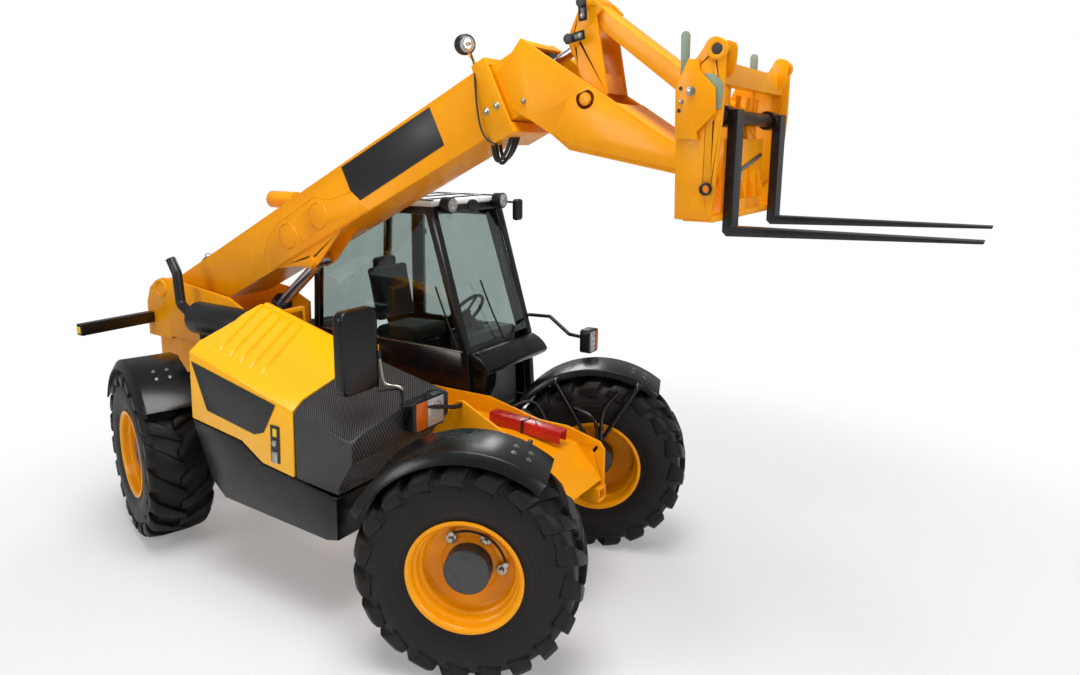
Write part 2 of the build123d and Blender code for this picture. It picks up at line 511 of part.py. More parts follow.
with BuildPart() as roof:
    with Locations(((CAB_FRONT_TOP + CAB_REAR + 60) / 2, (CAB_RIGHT + CAB_LEFT) / 2, CAB_ROOF_Z + FIT + 20)):
        Box(CAB_FRONT_TOP - CAB_REAR - 60, CAB_LEFT - CAB_RIGHT, 40)
    chamfer(roof.edges().group_by(Axis.Z)[-1], 18)
save(roof.part, "cab_roof")

with BuildPart() as panels:
    # lower right wall, floor, front and rear walls below the waist
    inner = TUBE + FIT
    plate(side(y=CAB_RIGHT + 20), 20, (CAB_FRONT_WAIST + 40 - inner, CAB_FLOOR_Z + inner),
          (CAB_FRONT_WAIST - inner, CAB_WAIST_Z), (CAB_REAR + inner, CAB_WAIST_Z),
          (CAB_REAR_FOOT + inner, CAB_FLOOR_Z + inner))
    # lower left panel behind the door
    plate(side(y=CAB_LEFT - 10), 20, (DOOR_REAR - 60 - FIT, 931), (DOOR_REAR - 60 - FIT, CAB_WAIST_Z),
          (CAB_REAR + inner, CAB_WAIST_Z))
    plate(side(y=CAB_LEFT - inner), CAB_LEFT - CAB_RIGHT - 2 * inner, (-120, CAB_FLOOR_Z + 1),
          (CAB_REAR_FOOT + 80, CAB_FLOOR_Z + 1), (CAB_REAR_FOOT + 80, CAB_FLOOR_Z + 25), (-120, CAB_FLOOR_Z + 25))
save(panels.part, "cab_panels")

with BuildPart() as glass:
    plate(side(y=CAB_RIGHT + 12), 6, (CAB_FRONT_WAIST - inner, CAB_WAIST_Z + FIT),
          (CAB_FRONT_TOP - inner, CAB_ROOF_Z - inner), (CAB_REAR + 60 + inner, CAB_ROOF_Z - inner),
          (CAB_REAR + inner, CAB_WAIST_Z + FIT))
    plate(side(y=CAB_LEFT - inner), CAB_LEFT - CAB_RIGHT - 2 * inner, (CAB_FRONT_WAIST - 10, CAB_WAIST_Z + 30),
          (CAB_FRONT_TOP - 5, CAB_ROOF_Z - inner), (CAB_FRONT_TOP - 11, CAB_ROOF_Z - inner),
          (CAB_FRONT_WAIST - 16, CAB_WAIST_Z + 30))
    plate(side(y=CAB_LEFT - inner), CAB_LEFT - CAB_RIGHT - 2 * inner, (CAB_REAR + 20, CAB_WAIST_Z + 30),
          (CAB_REAR + 75, CAB_ROOF_Z - inner), (CAB_REAR + 81, CAB_ROOF_Z - inner), (CAB_REAR + 26, CAB_WAIST_Z + 30))
    plate(side(y=CAB_LEFT - 12), 6, (DOOR_REAR - 60 - FIT, CAB_WAIST_Z + FIT),
          (DOOR_REAR - 60 - FIT, CAB_ROOF_Z - inner), (CAB_REAR + 60 + inner, CAB_ROOF_Z - inner),
          (CAB_REAR + inner, CAB_WAIST_Z + FIT))
save(glass.part, "cab_glass")

with BuildPart() as door:
    plate(side(y=CAB_LEFT - 2), 40, (DOOR_FRONT + 20, CAB_FLOOR_Z + inner + 4), (DOOR_FRONT - 15, CAB_WAIST_Z),
          (CAB_FRONT_TOP - inner - 4, CAB_ROOF_Z - inner - 4), (DOOR_REAR, CAB_ROOF_Z - inner - 4),
          (DOOR_REAR, CAB_FLOOR_Z + inner + 4))
    plate(side(y=CAB_LEFT), 44, (DOOR_FRONT - 70, CAB_WAIST_Z + 20),
          (CAB_FRONT_TOP - inner - 60, CAB_ROOF_Z - inner - 60), (DOOR_REAR + 50, CAB_ROOF_Z - inner - 60),
          (DOOR_REAR + 50, CAB_WAIST_Z + 20), mode=Mode.SUBTRACT)
    for z in DOOR_HINGES:
        disc(Plane(origin=(DOOR_PIN[0], DOOR_PIN[1], z + 30 + FIT)), 14, 40)
        with Locations((DOOR_PIN[0] + 35, CAB_LEFT + 7, z + 50 + FIT)):
            Box(50, 18, 40)
        disc(Plane(origin=(DOOR_PIN[0], DOOR_PIN[1], z)), 6 + RUN, 90, mode=Mode.SUBTRACT)
save(door.part, "cab_door")
with BuildPart() as door_glass:
    plate(side(y=CAB_LEFT - 16), 6, (DOOR_FRONT - 70 - FIT, CAB_WAIST_Z + 20 + FIT),
          (CAB_FRONT_TOP - inner - 60 - FIT, CAB_ROOF_Z - inner - 60 - FIT),
          (DOOR_REAR + 50 + FIT, CAB_ROOF_Z - inner - 60 - FIT), (DOOR_REAR + 50 + FIT, CAB_WAIST_Z + 20 + FIT))
save(door_glass.part, "door_glass")

SEAT_X, SEAT_Y = -950, 680
with BuildPart() as seat:
    plate(side(y=SEAT_Y + 240), 480, (SEAT_X - 230, 1330), (SEAT_X + 270, 1330), (SEAT_X + 270, 1450),
          (SEAT_X - 100, 1450), (SEAT_X - 210, 2000), (SEAT_X - 330, 2000))
save(seat.part, "seat")
with BuildPart() as console:
    with Locations((SEAT_X, SEAT_Y, (CAB_FLOOR_Z + 25 + 1330 - FIT) / 2)):
        Box(360, 360, 1330 - FIT - CAB_FLOOR_Z - 25)
    plate(side(y=SEAT_Y + 300), 600, (-115, CAB_FLOOR_Z + 25.5), (-200, CAB_FLOOR_Z + 25.5), (-330, 1500),
          (-140, 1500))
save(console.part, "cab_console")

with BuildPart() as cowl:
    plate(side(y=CAB_LEFT - 20), CAB_LEFT - CAB_RIGHT - 40, (CAB_FRONT_WAIST + 2 + FIT, CAB_WAIST_Z - 10),
          (110, 1330), (110, 1310), (cab_x(CAB_WAIST_Z - 200) + FIT, CAB_WAIST_Z - 200))
save(cowl.part, "cowl")

with BuildPart() as step:
    plate(side(y=CAB_LEFT - 20), CAB_LEFT - 20 - PLATE_OUT - FIT, (TANK_REAR, TANK_LOW), (TANK_FRONT, TANK_LOW),
          (TANK_FRONT, TANK_TOP), (TANK_REAR, TANK_TOP))
    fillet(step.edges().filter_by(Axis.Y), 60)
save(step.part, "side_tank")

LAMP = (155, -480, 1250)                # centre of the right head lamp
LAMP_SIZE = (80, 290, 200)
LEFT_LAMP = (445, 1120, 1415)
BAR_ROOT, BAR_END = (235, -PLATE_OUT - FIT, 1238), (150, -690, 1345)
MIRROR, MIRROR_SIZE = (27, -925, 1715), (70, 290, 490)
ROOF_LAMP_Y, ROOF_LAMP_R = (367, 1012), 60
with BuildPart() as lamps:
    # right head lamp under a bar that reaches out from the chassis plate
    with Locations(LAMP):
        Box(*LAMP_SIZE)
    fillet(lamps.edges().filter_by(Axis.X), 30)
    tube(14, 20, BAR_ROOT, (BAR_ROOT[0], -275, BAR_ROOT[2]), BAR_END)
    with Locations((178, -480, 1325)):
        Box(30, 40, 80)
    # right mirror on the bar's end
    tube(11, 40, (148, -672, 1335), (140, -672, 1450), (90, -835, 1470), (60, -861, 1566), (45, -862, 1720))
    with Locations(MIRROR):
        Box(*MIRROR_SIZE)
    fillet(lamps.edges().filter_by(Axis.X).group_by(Axis.Z)[-1] + lamps.edges().filter_by(Axis.X).filter_by_position(
        Axis.Z, MIRROR[2] - MIRROR_SIZE[2], MIRROR[2]).filter_by_position(Axis.Y, -1200, -800), 45)
with BuildPart() as left_lamp:
    # left head lamp on a bent arm from the cab's front post
    tube(14, 30, (-118, CAB_LEFT + FIT, 1541), (-118, CAB_LEFT + 45, 1541), (81, CAB_LEFT + 45, 1550), (262, 1140, 1433),
         (412, 1120, 1430))
    with Locations(LEFT_LAMP):
        Box(80, 150, 180)
    fillet(left_lamp.edges().filter_by(Axis.X).filter_by(GeomType.LINE), 30)
with BuildPart() as roof_lamps:
    # round work lamps on the front edge of the roof
    for y in ROOF_LAMP_Y:
        disc(Plane(origin=(CAB_FRONT_TOP + 16, y, CAB_ROOF_Z + 10), z_dir=(1, 0, 0)), ROOF_LAMP_R, 75)
        with Locations((CAB_FRONT_TOP + FIT + 10, y, CAB_ROOF_Z + 14)):
            Box(20, 40, 24)
with BuildPart() as lights:
    add(lamps.part)
    add(left_lamp.part)
    add(roof_lamps.part)
save(lights.part, "lamps_mirrors")

with BuildPart() as strut:
    with Locations((300, 60, 1045 + FIT + 39)):
        Box(560, 90, 78)
save(strut.part, "safety_strut")

# ---------------------------------------------------------------- boom
SIDE_PLATE = [(1225, -190), (1320, -120), (1470, -56), (1929, -46), (2055, -125), (2270, -160), (2300, -215),
              (2360, -330), (1246, -330)]
COVERS = [(1535, -180), (1897, -178)]
with BuildPart() as boom:
    with BuildSketch(boom_plane()):
        Polygon((0, 75), (120, BOOM_TOP), (BOOM_LENGTH, BOOM_TOP), (BOOM_LENGTH, BOOM_BOTTOM),
                (650, BOOM_BOTTOM), (-20, -75), align=None)
        Circle(75)
    extrude(amount=BOOM_HALF_WIDTH, both=True)
    # hollow for the inner boom, open at the mouth
    plate(boom_plane(), BOOM_HALF_WIDTH - BOOM_WALL, (INNER_REAR - 350, BOOM_TOP - BOOM_WALL),
          (BOOM_LENGTH + 1, BOOM_TOP - BOOM_WALL), (BOOM_LENGTH + 1, BOOM_BOTTOM + BOOM_WALL),
          (INNER_REAR - 350, BOOM_BOTTOM + BOOM_WALL), both=True, mode=Mode.SUBTRACT)
    # collar at the mouth
    with BuildSketch(boom_plane()):
        Polygon((BOOM_LENGTH - 80, BOOM_TOP + 36), (BOOM_LENGTH + 22, BOOM_TOP + 36),
                (BOOM_LENGTH + 22, BOOM_BOTTOM - 56), (BOOM_LENGTH - 150, BOOM_BOTTOM - 56), align=None)
    extrude(amount=BOOM_HALF_WIDTH + 14, both=True)
    plate(boom_plane(), BOOM_HALF_WIDTH - BOOM_WALL, (BOOM_LENGTH - 200, BOOM_TOP - BOOM_WALL),
          (BOOM_LENGTH + 40, BOOM_TOP - BOOM_WALL), (BOOM_LENGTH + 40, BOOM_BOTTOM + BOOM_WALL),
          (BOOM_LENGTH - 200, BOOM_BOTTOM + BOOM_WALL), both=True, mode=Mode.SUBTRACT)
    # wear pads inside the mouth
    pad = SLIDE_GAP - FIT
    for v in (BOOM_TOP - BOOM_WALL - pad, BOOM_BOTTOM + BOOM_WALL):
        plate(boom_plane(), 120, (BOOM_LENGTH - 90, v), (BOOM_LENGTH - 10, v), (BOOM_LENGTH - 10, v + pad),
              (BOOM_LENGTH - 90, v + pad), both=True)
    for y in (BOOM_HALF_WIDTH - BOOM_WALL, pad - BOOM_HALF_WIDTH + BOOM_WALL):
        plate(boom_plane(y), pad, (BOOM_LENGTH - 90, -250), (BOOM_LENGTH - 10, -250), (BOOM_LENGTH - 10, -50),
              (BOOM_LENGTH - 90, -50))
    # side plates over the lift bracket, each with two round covers
    for s in (-1, 1):
        face = boom_plane(s * BOOM_HALF_WIDTH)
        plate(face, -s * 5, *SIDE_PLATE)
        with BuildSketch(face) as covers:
            with Locations(*COVERS):
                Circle(92)
        extrude(covers.sketch, amount=-s * 9)
    # canister on a bracket on the far side, clear of the cab when the boom comes down
    plate(boom_plane(BOOM_HALF_WIDTH + 12), 12, (1130, -60), (1250, -60), (1250, 200), (1150, 240))
    disc(Plane(origin=(-1936, CAB_RIGHT - 7 - CANISTER_R, 2441), z_dir=(1, 0, 0)), CANISTER_R, 290)
    # pivot tube out to the tower plates
    disc(boom_plane(), PIVOT_R, TOWER_OUT + 6, both=True)
    disc(boom_plane(), 75, TOWER_OUT - TOWER_T - 2, both=True)
    # lift bracket: two plates under the boom, with the pin's heads outside them
    for y in (LIFT_Y - 70, LIFT_Y + 90):
        plate(boom_plane(y), 20, (1290, BOOM_BOTTOM + 2), (2050, BOOM_BOTTOM + 2),
              (LIFT_PIN[0] + 55, LIFT_PIN[1] - 40), (LIFT_PIN[0] - 45, LIFT_PIN[1] - 45),
              (LIFT_PIN[0] - 120, LIFT_PIN[1] + 10))
    for y in (LIFT_Y - 89, LIFT_Y + 104):
        disc(Plane(origin=on_boom(*LIFT_PIN, y), z_dir=(0, -1, 0)), 36, 15)
save(boom.part, "boom")

# nose of the inner boom, along and square to the boom: heel, crown, brow, tip, chin, throat
TIP = off_boom(*CARRIAGE_PIVOT)
NOSE = [(3649, -270), (3674, -31), (3870, 59), (4462, -879), (4643, -1104), (4534, -1197), (4399, -1022),
        (3890, -640), (3827, -518), (3733, -378)]
with BuildPart() as inner_boom:
    gap = BOOM_WALL + SLIDE_GAP
    top, bottom, out = BOOM_TOP - gap, BOOM_BOTTOM + gap, BOOM_HALF_WIDTH - gap
    plate(boom_plane(), out, (INNER_REAR, top), (3800, top), (3800, bottom), (INNER_REAR, bottom), both=True)
    plate(boom_plane(), out - BOOM_WALL, (INNER_REAR - 1, top - BOOM_WALL), (3801, top - BOOM_WALL),
          (3801, bottom + BOOM_WALL), (INNER_REAR - 1, bottom + BOOM_WALL), both=True, mode=Mode.SUBTRACT)
    # wear pads round the rear end
    for v in (top, bottom - pad):
        plate(boom_plane(), 120, (INNER_REAR + 10, v), (INNER_REAR + 90, v), (INNER_REAR + 90, v + pad),
              (INNER_REAR + 10, v + pad), both=True)
    for y in (out + pad, -out):
        plate(boom_plane(y), pad, (INNER_REAR + 10, -250), (INNER_REAR + 90, -250), (INNER_REAR + 90, -50),
              (INNER_REAR + 10, -50))
    for y in (NOSE_HALF_WIDTH, NOSE_T - NOSE_HALF_WIDTH):
        with BuildSketch(boom_plane(y)):
            Polygon(*NOSE, align=None)
            with Locations(TIP):
                Circle(75)
        extrude(amount=NOSE_T)
    # crown, brow and throat plates between the cheeks; the top stays open for the lever and its ram
    inside = NOSE_HALF_WIDTH - NOSE_T
    plate(boom_plane(), inside, (3770, 12), (3870, 59), (3922, -23), (3908, -32), (3864, 38), (3775, -2), both=True)
    plate(boom_plane(), inside, (4250, -543), (4462, -879), (4615, -1072), (4600, -1085), (4449, -890),
          (4236, -552), both=True)
    plate(boom_plane(), inside, (3686, bottom), (3733, -378), (3827, -518), (3890, -640), (4399, -1022),
          (4534, -1197), (4548, -1185), (4412, -1010), (3902, -627), (3841, -510), (3747, -366),
          (3700, bottom + 12), both=True)
    disc(side(CARRIAGE_PIVOT[0], 0, CARRIAGE_PIVOT[1]), 75, NOSE_HALF_WIDTH, both=True)
    disc(side(CARRIAGE_PIVOT[0], 0, CARRIAGE_PIVOT[1]), 30 + RUN, NOSE_HALF_WIDTH + 1, both=True,
         mode=Mode.SUBTRACT)
    for y in (NOSE_HALF_WIDTH + 12, -NOSE_HALF_WIDTH + NOSE_T):
        disc(Plane(origin=(LEVER_PIVOT[0], y, LEVER_PIVOT[1]), z_dir=(0, -1, 0)), 60, NOSE_T + 12)
    disc(side(LEVER_PIVOT[0], 0, LEVER_PIVOT[1]), 30 + RUN, NOSE_HALF_WIDTH + 20, both=True, mode=Mode.SUBTRACT)
    # cheeks and pin for the tilt ram's foot
    for y in (76, -60):
        plate(boom_plane(y), 16, (TILT_FOOT[0] - 90, bottom + 2), (TILT_FOOT[0] + 90, bottom + 2),
              (TILT_FOOT[0] + 45, TILT_FOOT[1] + 40), (TILT_FOOT[0] - 45, TILT_FOOT[1] + 40))
    disc(Plane(origin=on_boom(*TILT_FOOT), z_dir=(0, -1, 0)), PIN_R, 78, both=True)
save(inner_boom.part, "inner_boom")

# ---------------------------------------------------------------- tilt linkage
LEVER_SIDE = [
    (996, 3640), (1075, 3640), (1135, 3581), (1094, 3549), (1174, 3143), (1140, 3060), (1050, 3040),
    (1000, 3080), (988, 3293), (935, 3391), (928, 3459), (996, 3609),
]
with BuildPart() as lever:
    for y in (LEVER_OUT, LEVER_T - LEVER_OUT):
        plate(side(y=y), LEVER_T, *LEVER_SIDE)
    disc(side(*LEVER_PIVOT[:1], 0, LEVER_PIVOT[1]), 50, LEVER_OUT, both=True)
    disc(side(LEVER_PIVOT[0], 0, LEVER_PIVOT[1]), 30, NOSE_HALF_WIDTH + 14, both=True)
    disc(side(LEVER_TOP[0], 0, LEVER_TOP[1]), PIN_R, LEVER_OUT + 12, both=True)
    plate(side(y=LEVER_OUT - 1), 2 * LEVER_OUT - 2, (1118, 3250), (1140, 3250), (1168, 3143), (1146, 3143))
    for s in (-1, 1):
        disc(side(LEVER_RAM[0], s * (LEVER_OUT + 6), LEVER_RAM[1]), 34, 7, both=True)
save(lever.part, "tilt_lever")

dx, dz = LINK_END[0] - LEVER_TOP[0], LINK_END[1] - LEVER_TOP[1]
LINK_SPAN, LINK_TILT = hypot(dx, dz), degrees(atan2(dz, dx))
LINK_HALF_WIDTH = LEVER_OUT - LEVER_T - 10
with BuildPart() as link:
    with BuildSketch(side(LEVER_TOP[0], 0, LEVER_TOP[1], LINK_TILT)):
        Polygon((0, 30), (LINK_SPAN, 45), (LINK_SPAN, -45), (LINK_SPAN - 120, -60), (120, -60), (0, -30), align=None)
        Circle(52)
        with Locations((LINK_SPAN, 0)):
            Circle(52)
        Circle(PIN_R + RUN, mode=Mode.SUBTRACT)
    extrude(amount=LINK_HALF_WIDTH, both=True)
save(link.part, "tilt_link")

# ---------------------------------------------------------------- carriage and forks
END_SIDE = [(1748, 2527), (1910, 2527), (1926, 2545), (1954, 3019), (1953, 3286), (1870, 3320), (1731, 3122)]
EAR_SIDE = [(1790, 2522), (1886, 2522), (1886, 2900), (1866, 2940), (1866, 3238), (1800, 3238), (1738, 3100), (1738, 2640)]
with BuildPart() as carriage:
    for y in (CARRIAGE_OUT, CARRIAGE_T - CARRIAGE_OUT):
        with BuildSketch(side(y=y)):
            Polygon(*END_SIDE, align=None)
            with Locations((1903, 3286)):
                Circle(50)
                Circle(20, mode=Mode.SUBTRACT)
            with Locations((1895, 2672)):
                Circle(COUPLER_R, mode=Mode.SUBTRACT)
        extrude(amount=CARRIAGE_T)
    for y in (EAR_IN + EAR_T, -EAR_IN):
        with BuildSketch(side(y=y)):
            Polygon(*EAR_SIDE, align=None)
            for x, z in (LINK_END, CARRIAGE_PIVOT):
                with Locations((x, z)):
                    Circle(62)
        extrude(amount=EAR_T)
    # top beam, bottom bar, front plate
    between = CARRIAGE_OUT - 1
    plate(side(y=between), 2 * between, (1860, 3140), (1920, 3140), (1920, 3240), (1860, 3240))
    plate(side(y=between), 2 * between, (1790, 2520), (FORK_FACE_X - FIT, 2520), (FORK_FACE_X - FIT, 2546),
          (1790, 2546))
    plate(side(y=300), 600, (1882, 2545), (1898, 2545), (1898, 2900), (1882, 2900))
    # pins: through the nose's tip, and stub bosses either side of the link
    disc(side(CARRIAGE_PIVOT[0], 0, CARRIAGE_PIVOT[1]), 30, EAR_IN + EAR_T + 10, both=True)
    for s in (-1, 1):
        disc(side(LINK_END[0], s * (LINK_HALF_WIDTH + 6 + EAR_IN) / 2, LINK_END[1]), 45,
             (EAR_IN - LINK_HALF_WIDTH - 6) / 2, both=True)
    # fork shaft
    disc(side(SHAFT[0], 0, SHAFT[1]), PIN_R, CARRIAGE_OUT + 8, both=True)
save(carriage.part, "carriage")

with BuildPart() as forks:
    for y in FORK_Y:
        with BuildSketch(side(y=y + FORK_W / 2)):
            Polygon((FORK_FACE_X, FORK_Z + 20), (FORK_FACE_X + 20, FORK_Z), (FORK_FACE_X + FORK_LENGTH, FORK_TOP - 10),
                    (FORK_FACE_X + FORK_LENGTH, FORK_TOP), (FORK_FACE_X + FORK_T, FORK_TOP),
                    (FORK_FACE_X + FORK_T, SHAFT[1] + 30), (FORK_FACE_X, SHAFT[1] + 30), align=None)
            with Locations(SHAFT):
                Circle(50)
                Circle(PIN_R + RUN, mode=Mode.SUBTRACT)
        extrude(amount=FORK_W)
save(forks.part, "forks")


# ---------------------------------------------------------------- rams
def ram(name, foot, eye, y, bore, rod_r, barrel_end, rod_start, half_width, eye_r):
    """A barrel and its rod, laid from the foot's pin to the eye, as two parts."""
    span = hypot(eye[0] - foot[0], eye[1] - foot[1])
    aim = Vector((eye[0] - foot[0]) / span, 0, (eye[1] - foot[1]) / span)
    start = Plane(origin=(foot[0], y, foot[1]), x_dir=(0, 1, 0), z_dir=aim)
    with BuildPart() as barrel:
        disc(start.offset(40), bore, barrel_end - 40)
        disc(start.offset(130), rod_r + 0.1, barrel_end, mode=Mode.SUBTRACT)
        disc(start.offset(barrel_end - 50), bore + 8, 50)
        disc(start.offset(barrel_end - 60), rod_r + 0.1, 70, mode=Mode.SUBTRACT)
        disc(side(foot[0], y, foot[1]), eye_r + 5, bore, both=True)
        disc(side(foot[0], y, foot[1]), PIN_R + RUN, bore + 1, both=True, mode=Mode.SUBTRACT)
    save(barrel.part, f"{name}_barrel")
    with BuildPart() as rod:
        disc(start.offset(rod_start), rod_r, span - rod_start)
        disc(side(eye[0], y, eye[1]), eye_r, half_width, both=True)
    save(rod.part, f"{name}_rod")


lift_eye = on_boom(*LIFT_PIN)
ram("lift", LIFT_FOOT, (lift_eye[0], lift_eye[2]), LIFT_Y, 68, 40, 1800, 700, 56, 45)
tilt_foot = on_boom(*TILT_FOOT)
ram("tilt", (tilt_foot[0], tilt_foot[2]), LEVER_RAM, 0, 55, 30, 740, 300, 46, 45)
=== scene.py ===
"""Builds the looks of a telehandler around its packed frame: paint, glass, fittings, stage and camera."""

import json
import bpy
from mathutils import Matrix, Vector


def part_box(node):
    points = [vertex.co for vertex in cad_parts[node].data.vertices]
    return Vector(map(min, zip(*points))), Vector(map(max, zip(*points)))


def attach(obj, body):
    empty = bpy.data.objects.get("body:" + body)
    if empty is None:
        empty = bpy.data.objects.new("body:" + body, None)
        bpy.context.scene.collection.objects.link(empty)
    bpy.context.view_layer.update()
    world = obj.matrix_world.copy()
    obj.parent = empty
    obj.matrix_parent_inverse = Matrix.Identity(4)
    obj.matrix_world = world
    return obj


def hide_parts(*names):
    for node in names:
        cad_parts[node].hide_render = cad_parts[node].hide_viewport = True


bl_info = {
    "name": "Telehandler looks",
    "version": (1, 0, 0),
    "blender": (4, 5, 0),
    "location": "View3D > Sidebar > Telehandler",
    "description": "Paints and details the pieces of a telehandler in its own frame",
    "category": "Object",
}

from math import cos, pi, radians, sin

import bpy
from mathutils import Matrix, Vector

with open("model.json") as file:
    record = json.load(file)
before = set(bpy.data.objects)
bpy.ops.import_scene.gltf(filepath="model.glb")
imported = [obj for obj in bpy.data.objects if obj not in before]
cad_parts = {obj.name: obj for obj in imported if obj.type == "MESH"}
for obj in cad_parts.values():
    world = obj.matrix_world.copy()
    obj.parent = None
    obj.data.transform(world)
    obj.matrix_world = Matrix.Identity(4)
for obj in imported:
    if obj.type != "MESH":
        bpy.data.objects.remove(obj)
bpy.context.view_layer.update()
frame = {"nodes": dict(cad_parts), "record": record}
RECORD = frame["record"]
BODY_OF = {node: body for body, nodes in RECORD["behaviour"]["bodies"].items() for node in nodes}
SLOT_OF = {part["node"]: part["material_slot"] for part in RECORD["subparts"]}
JOINTS = {joint["name"]: joint for joint in RECORD["behaviour"]["joints"]}
CORNERS = ("front_right", "front_left", "rear_right", "rear_left")
BOOM_RISE = radians(26.2)
BOOM_PIVOT = Vector((-2.804, 0, 1.698))
SMOOTH_UNDER = 38       # degrees between faces that still shade as one
FLAT_WITHIN = 0.6       # degrees between faces that merge into one
WELD = 0.00002          # vertices nearer than this become one
# finishes that many pieces have
YELLOW, BLACK, ZINC = "yellow_gloss_enamel", "black_satin_enamel", "zinc_plated_steel"
MOULDED, ABS, HOSE = "moulded_polypropylene", "textured_abs", "hose_rubber"
FINISH = {}


# ---- places
def shift(x, y, z):
    """Place moved from the origin and not turned."""
    return Matrix.Translation((x, y, z))


def turned(degrees, axis="Z"):
    """Place turned about an axis through the origin."""
    return Matrix.Rotation(radians(degrees), 4, axis)


def side(y=0.0):
    """Upright place along the machine: local X forward, local Y up, local Z to the right."""
    return Matrix(((1, 0, 0, 0), (0, 0, -1, y), (0, 1, 0, 0), (0, 0, 0, 1)))


def across(x=0.0):
    """Upright place across the machine: local X to the left, local Y up, local Z forward."""
    return Matrix(((0, 0, 1, x), (1, 0, 0, 0), (0, 1, 0, 0), (0, 0, 0, 1)))


def along_boom(y=0.0):
    """Place along the boom from its pivot: local X out along it, local Y square to it, local Z right."""
    return Matrix.Translation(BOOM_PIVOT + Vector((0, y, 0))) @ Matrix.Rotation(-BOOM_RISE, 4, "Y") @ side()


def wheel_place(corner):
    """Place of a wheel: local Z outward along its axle, local Y up, origin at the wheel's centre."""
    joint = JOINTS[f"wheel_{corner}_spin"]
    out, up = Vector(joint["axis"]).normalized(), Vector((0, 0, 1))
    place = Matrix((up.cross(out), up, out)).transposed().to_4x4()
    return Matrix.Translation(joint["pos_m"]) @ place


def facing(centre, normal, up=(0, 0, 1)):
    """Place at a centre with local Z along a normal and local Y as near as can be to up."""
    out = Vector(normal).normalized()
    right = Vector(up).cross(out).normalized()
    return Matrix.Translation(centre) @ Matrix((right, out.cross(right), out)).transposed().to_4x4()


def sideways(x, y, z):
    """Place at a point with local Z out to its own side of the machine and local Y up."""
    return facing((x, y, z), (0, -1 if y < 0 else 1, 0))


# ---- modelling
def mode(name):
    """Goes to edit or object mode."""
    bpy.ops.object.mode_set(mode=name)


def clear():
    """Leaves edit mode and selects nothing."""
    if bpy.context.object and bpy.context.object.mode != "OBJECT":
        mode("OBJECT")
    bpy.ops.object.select_all(action="DESELECT")


def pick(piece):
    """Makes one object the only one selected, and active."""
    clear()
    piece.select_set(True)
    bpy.context.view_layer.objects.active = piece


def named(name):
    """Names the object that an operator has just made."""
    piece = bpy.context.object
    piece.name = piece.data.name = name
    return piece


def modifier(piece, kind, **settings):
    """Adds a modifier with its settings and applies it."""
    pick(piece)
    change = piece.modifiers.new(kind.title(), kind)
    for key, value in settings.items():
        setattr(change, key, value)
    bpy.ops.object.modifier_apply(modifier=change.name)


def choose(piece, kind, test):
    """Enters edit mode with only those vertices, edges or faces selected that pass a test."""
    pick(piece)
    mode("EDIT")
    bpy.ops.mesh.select_mode(type=kind)
    bpy.ops.mesh.select_all(action="DESELECT")
    mode("OBJECT")
    mesh = piece.data
    for element in {"VERT": mesh.vertices, "EDGE": mesh.edges, "FACE": mesh.polygons}[kind]:
        element.select = test(element)
    mode("EDIT")


def rounded(piece, width, segments=2, angle=30, clamp=True):
    """Rounds the sharp edges of a piece and shades it smooth between them."""
    modifier(piece, "BEVEL", width=width, segments=segments, limit_method="ANGLE",
             angle_limit=radians(angle), use_clamp_overlap=clamp, miter_outer="MITER_ARC")
    bpy.ops.object.shade_smooth_by_angle(angle=radians(SMOOTH_UNDER))


def slab(name, outline, thickness, place, edge=0.002, segments=2):
    """A flat plate: a filled outline extruded by its thickness along the place's Z."""
    clear()
    bpy.ops.mesh.primitive_circle_add(vertices=len(outline), fill_type="NGON")
    piece = named(name)
    for vertex, (x, y) in zip(piece.data.vertices, outline):
        vertex.co = (x, y, 0)
    mode("EDIT")
    bpy.ops.mesh.select_all(action="SELECT")
    bpy.ops.mesh.extrude_region_move(TRANSFORM_OT_translate={"value": (0, 0, thickness)})
    bpy.ops.mesh.select_all(action="SELECT")
    bpy.ops.mesh.normals_make_consistent(inside=False)
    mode("OBJECT")
    piece.data.transform(place)
    if edge:
        rounded(piece, edge, segments)
    return piece


def block(name, size, place, edge=0.004, segments=2):
    """A box at the middle of its place, with rounded edges."""
    clear()
    bpy.ops.mesh.primitive_cube_add(size=1)
    piece = named(name)
    piece.data.transform(place @ Matrix.Diagonal((*size, 1)))
    if edge:
        rounded(piece, edge, segments)
    return piece


def boss(name, radius, depth, place, edge=0.002, sides=32, hole=0.0, segments=2):
    """A round boss standing on its place's XY plane, with an optional bore."""
    clear()
    bpy.ops.mesh.primitive_cylinder_add(vertices=sides, radius=radius, depth=depth)
    piece = named(name)
    if hole:
        choose(piece, "FACE", lambda face: abs(face.normal.z) > 0.9)
        bpy.ops.mesh.inset(thickness=radius - hole)
        bpy.ops.mesh.bridge_edge_loops()
        mode("OBJECT")
    piece.data.transform(place @ shift(0, 0, depth / 2))
    if edge:
        rounded(piece, edge, segments)
    return piece


def tube(name, points, radius, sides=4):
    """A round bar or hose along a smooth line through its run, as a mesh."""
    clear()
    bpy.ops.curve.primitive_nurbs_path_add()
    piece = named(name)
    curve = piece.data
    curve.splines.clear()
    spline = curve.splines.new("NURBS")
    spline.points.add(len(points) - 1)
    for point, place in zip(spline.points, points):
        point.co = (*place, 1)
    spline.order_u = 3
    spline.use_endpoint_u = True
    spline.resolution_u = 6
    curve.dimensions = "3D"
    curve.bevel_depth = radius
    curve.bevel_resolution = sides
    curve.use_fill_caps = True
    bpy.ops.object.convert(target="MESH")
    piece = bpy.context.object
    bpy.ops.object.shade_smooth_by_angle(angle=radians(50))
    return piece


def joined(name, pieces):
    """Several meshes as one piece."""
    clear()
    for piece in pieces:
        piece.select_set(True)
    bpy.context.view_layer.objects.active = pieces[0]
    if len(pieces) > 1:
        bpy.ops.object.join()
    return named(name)


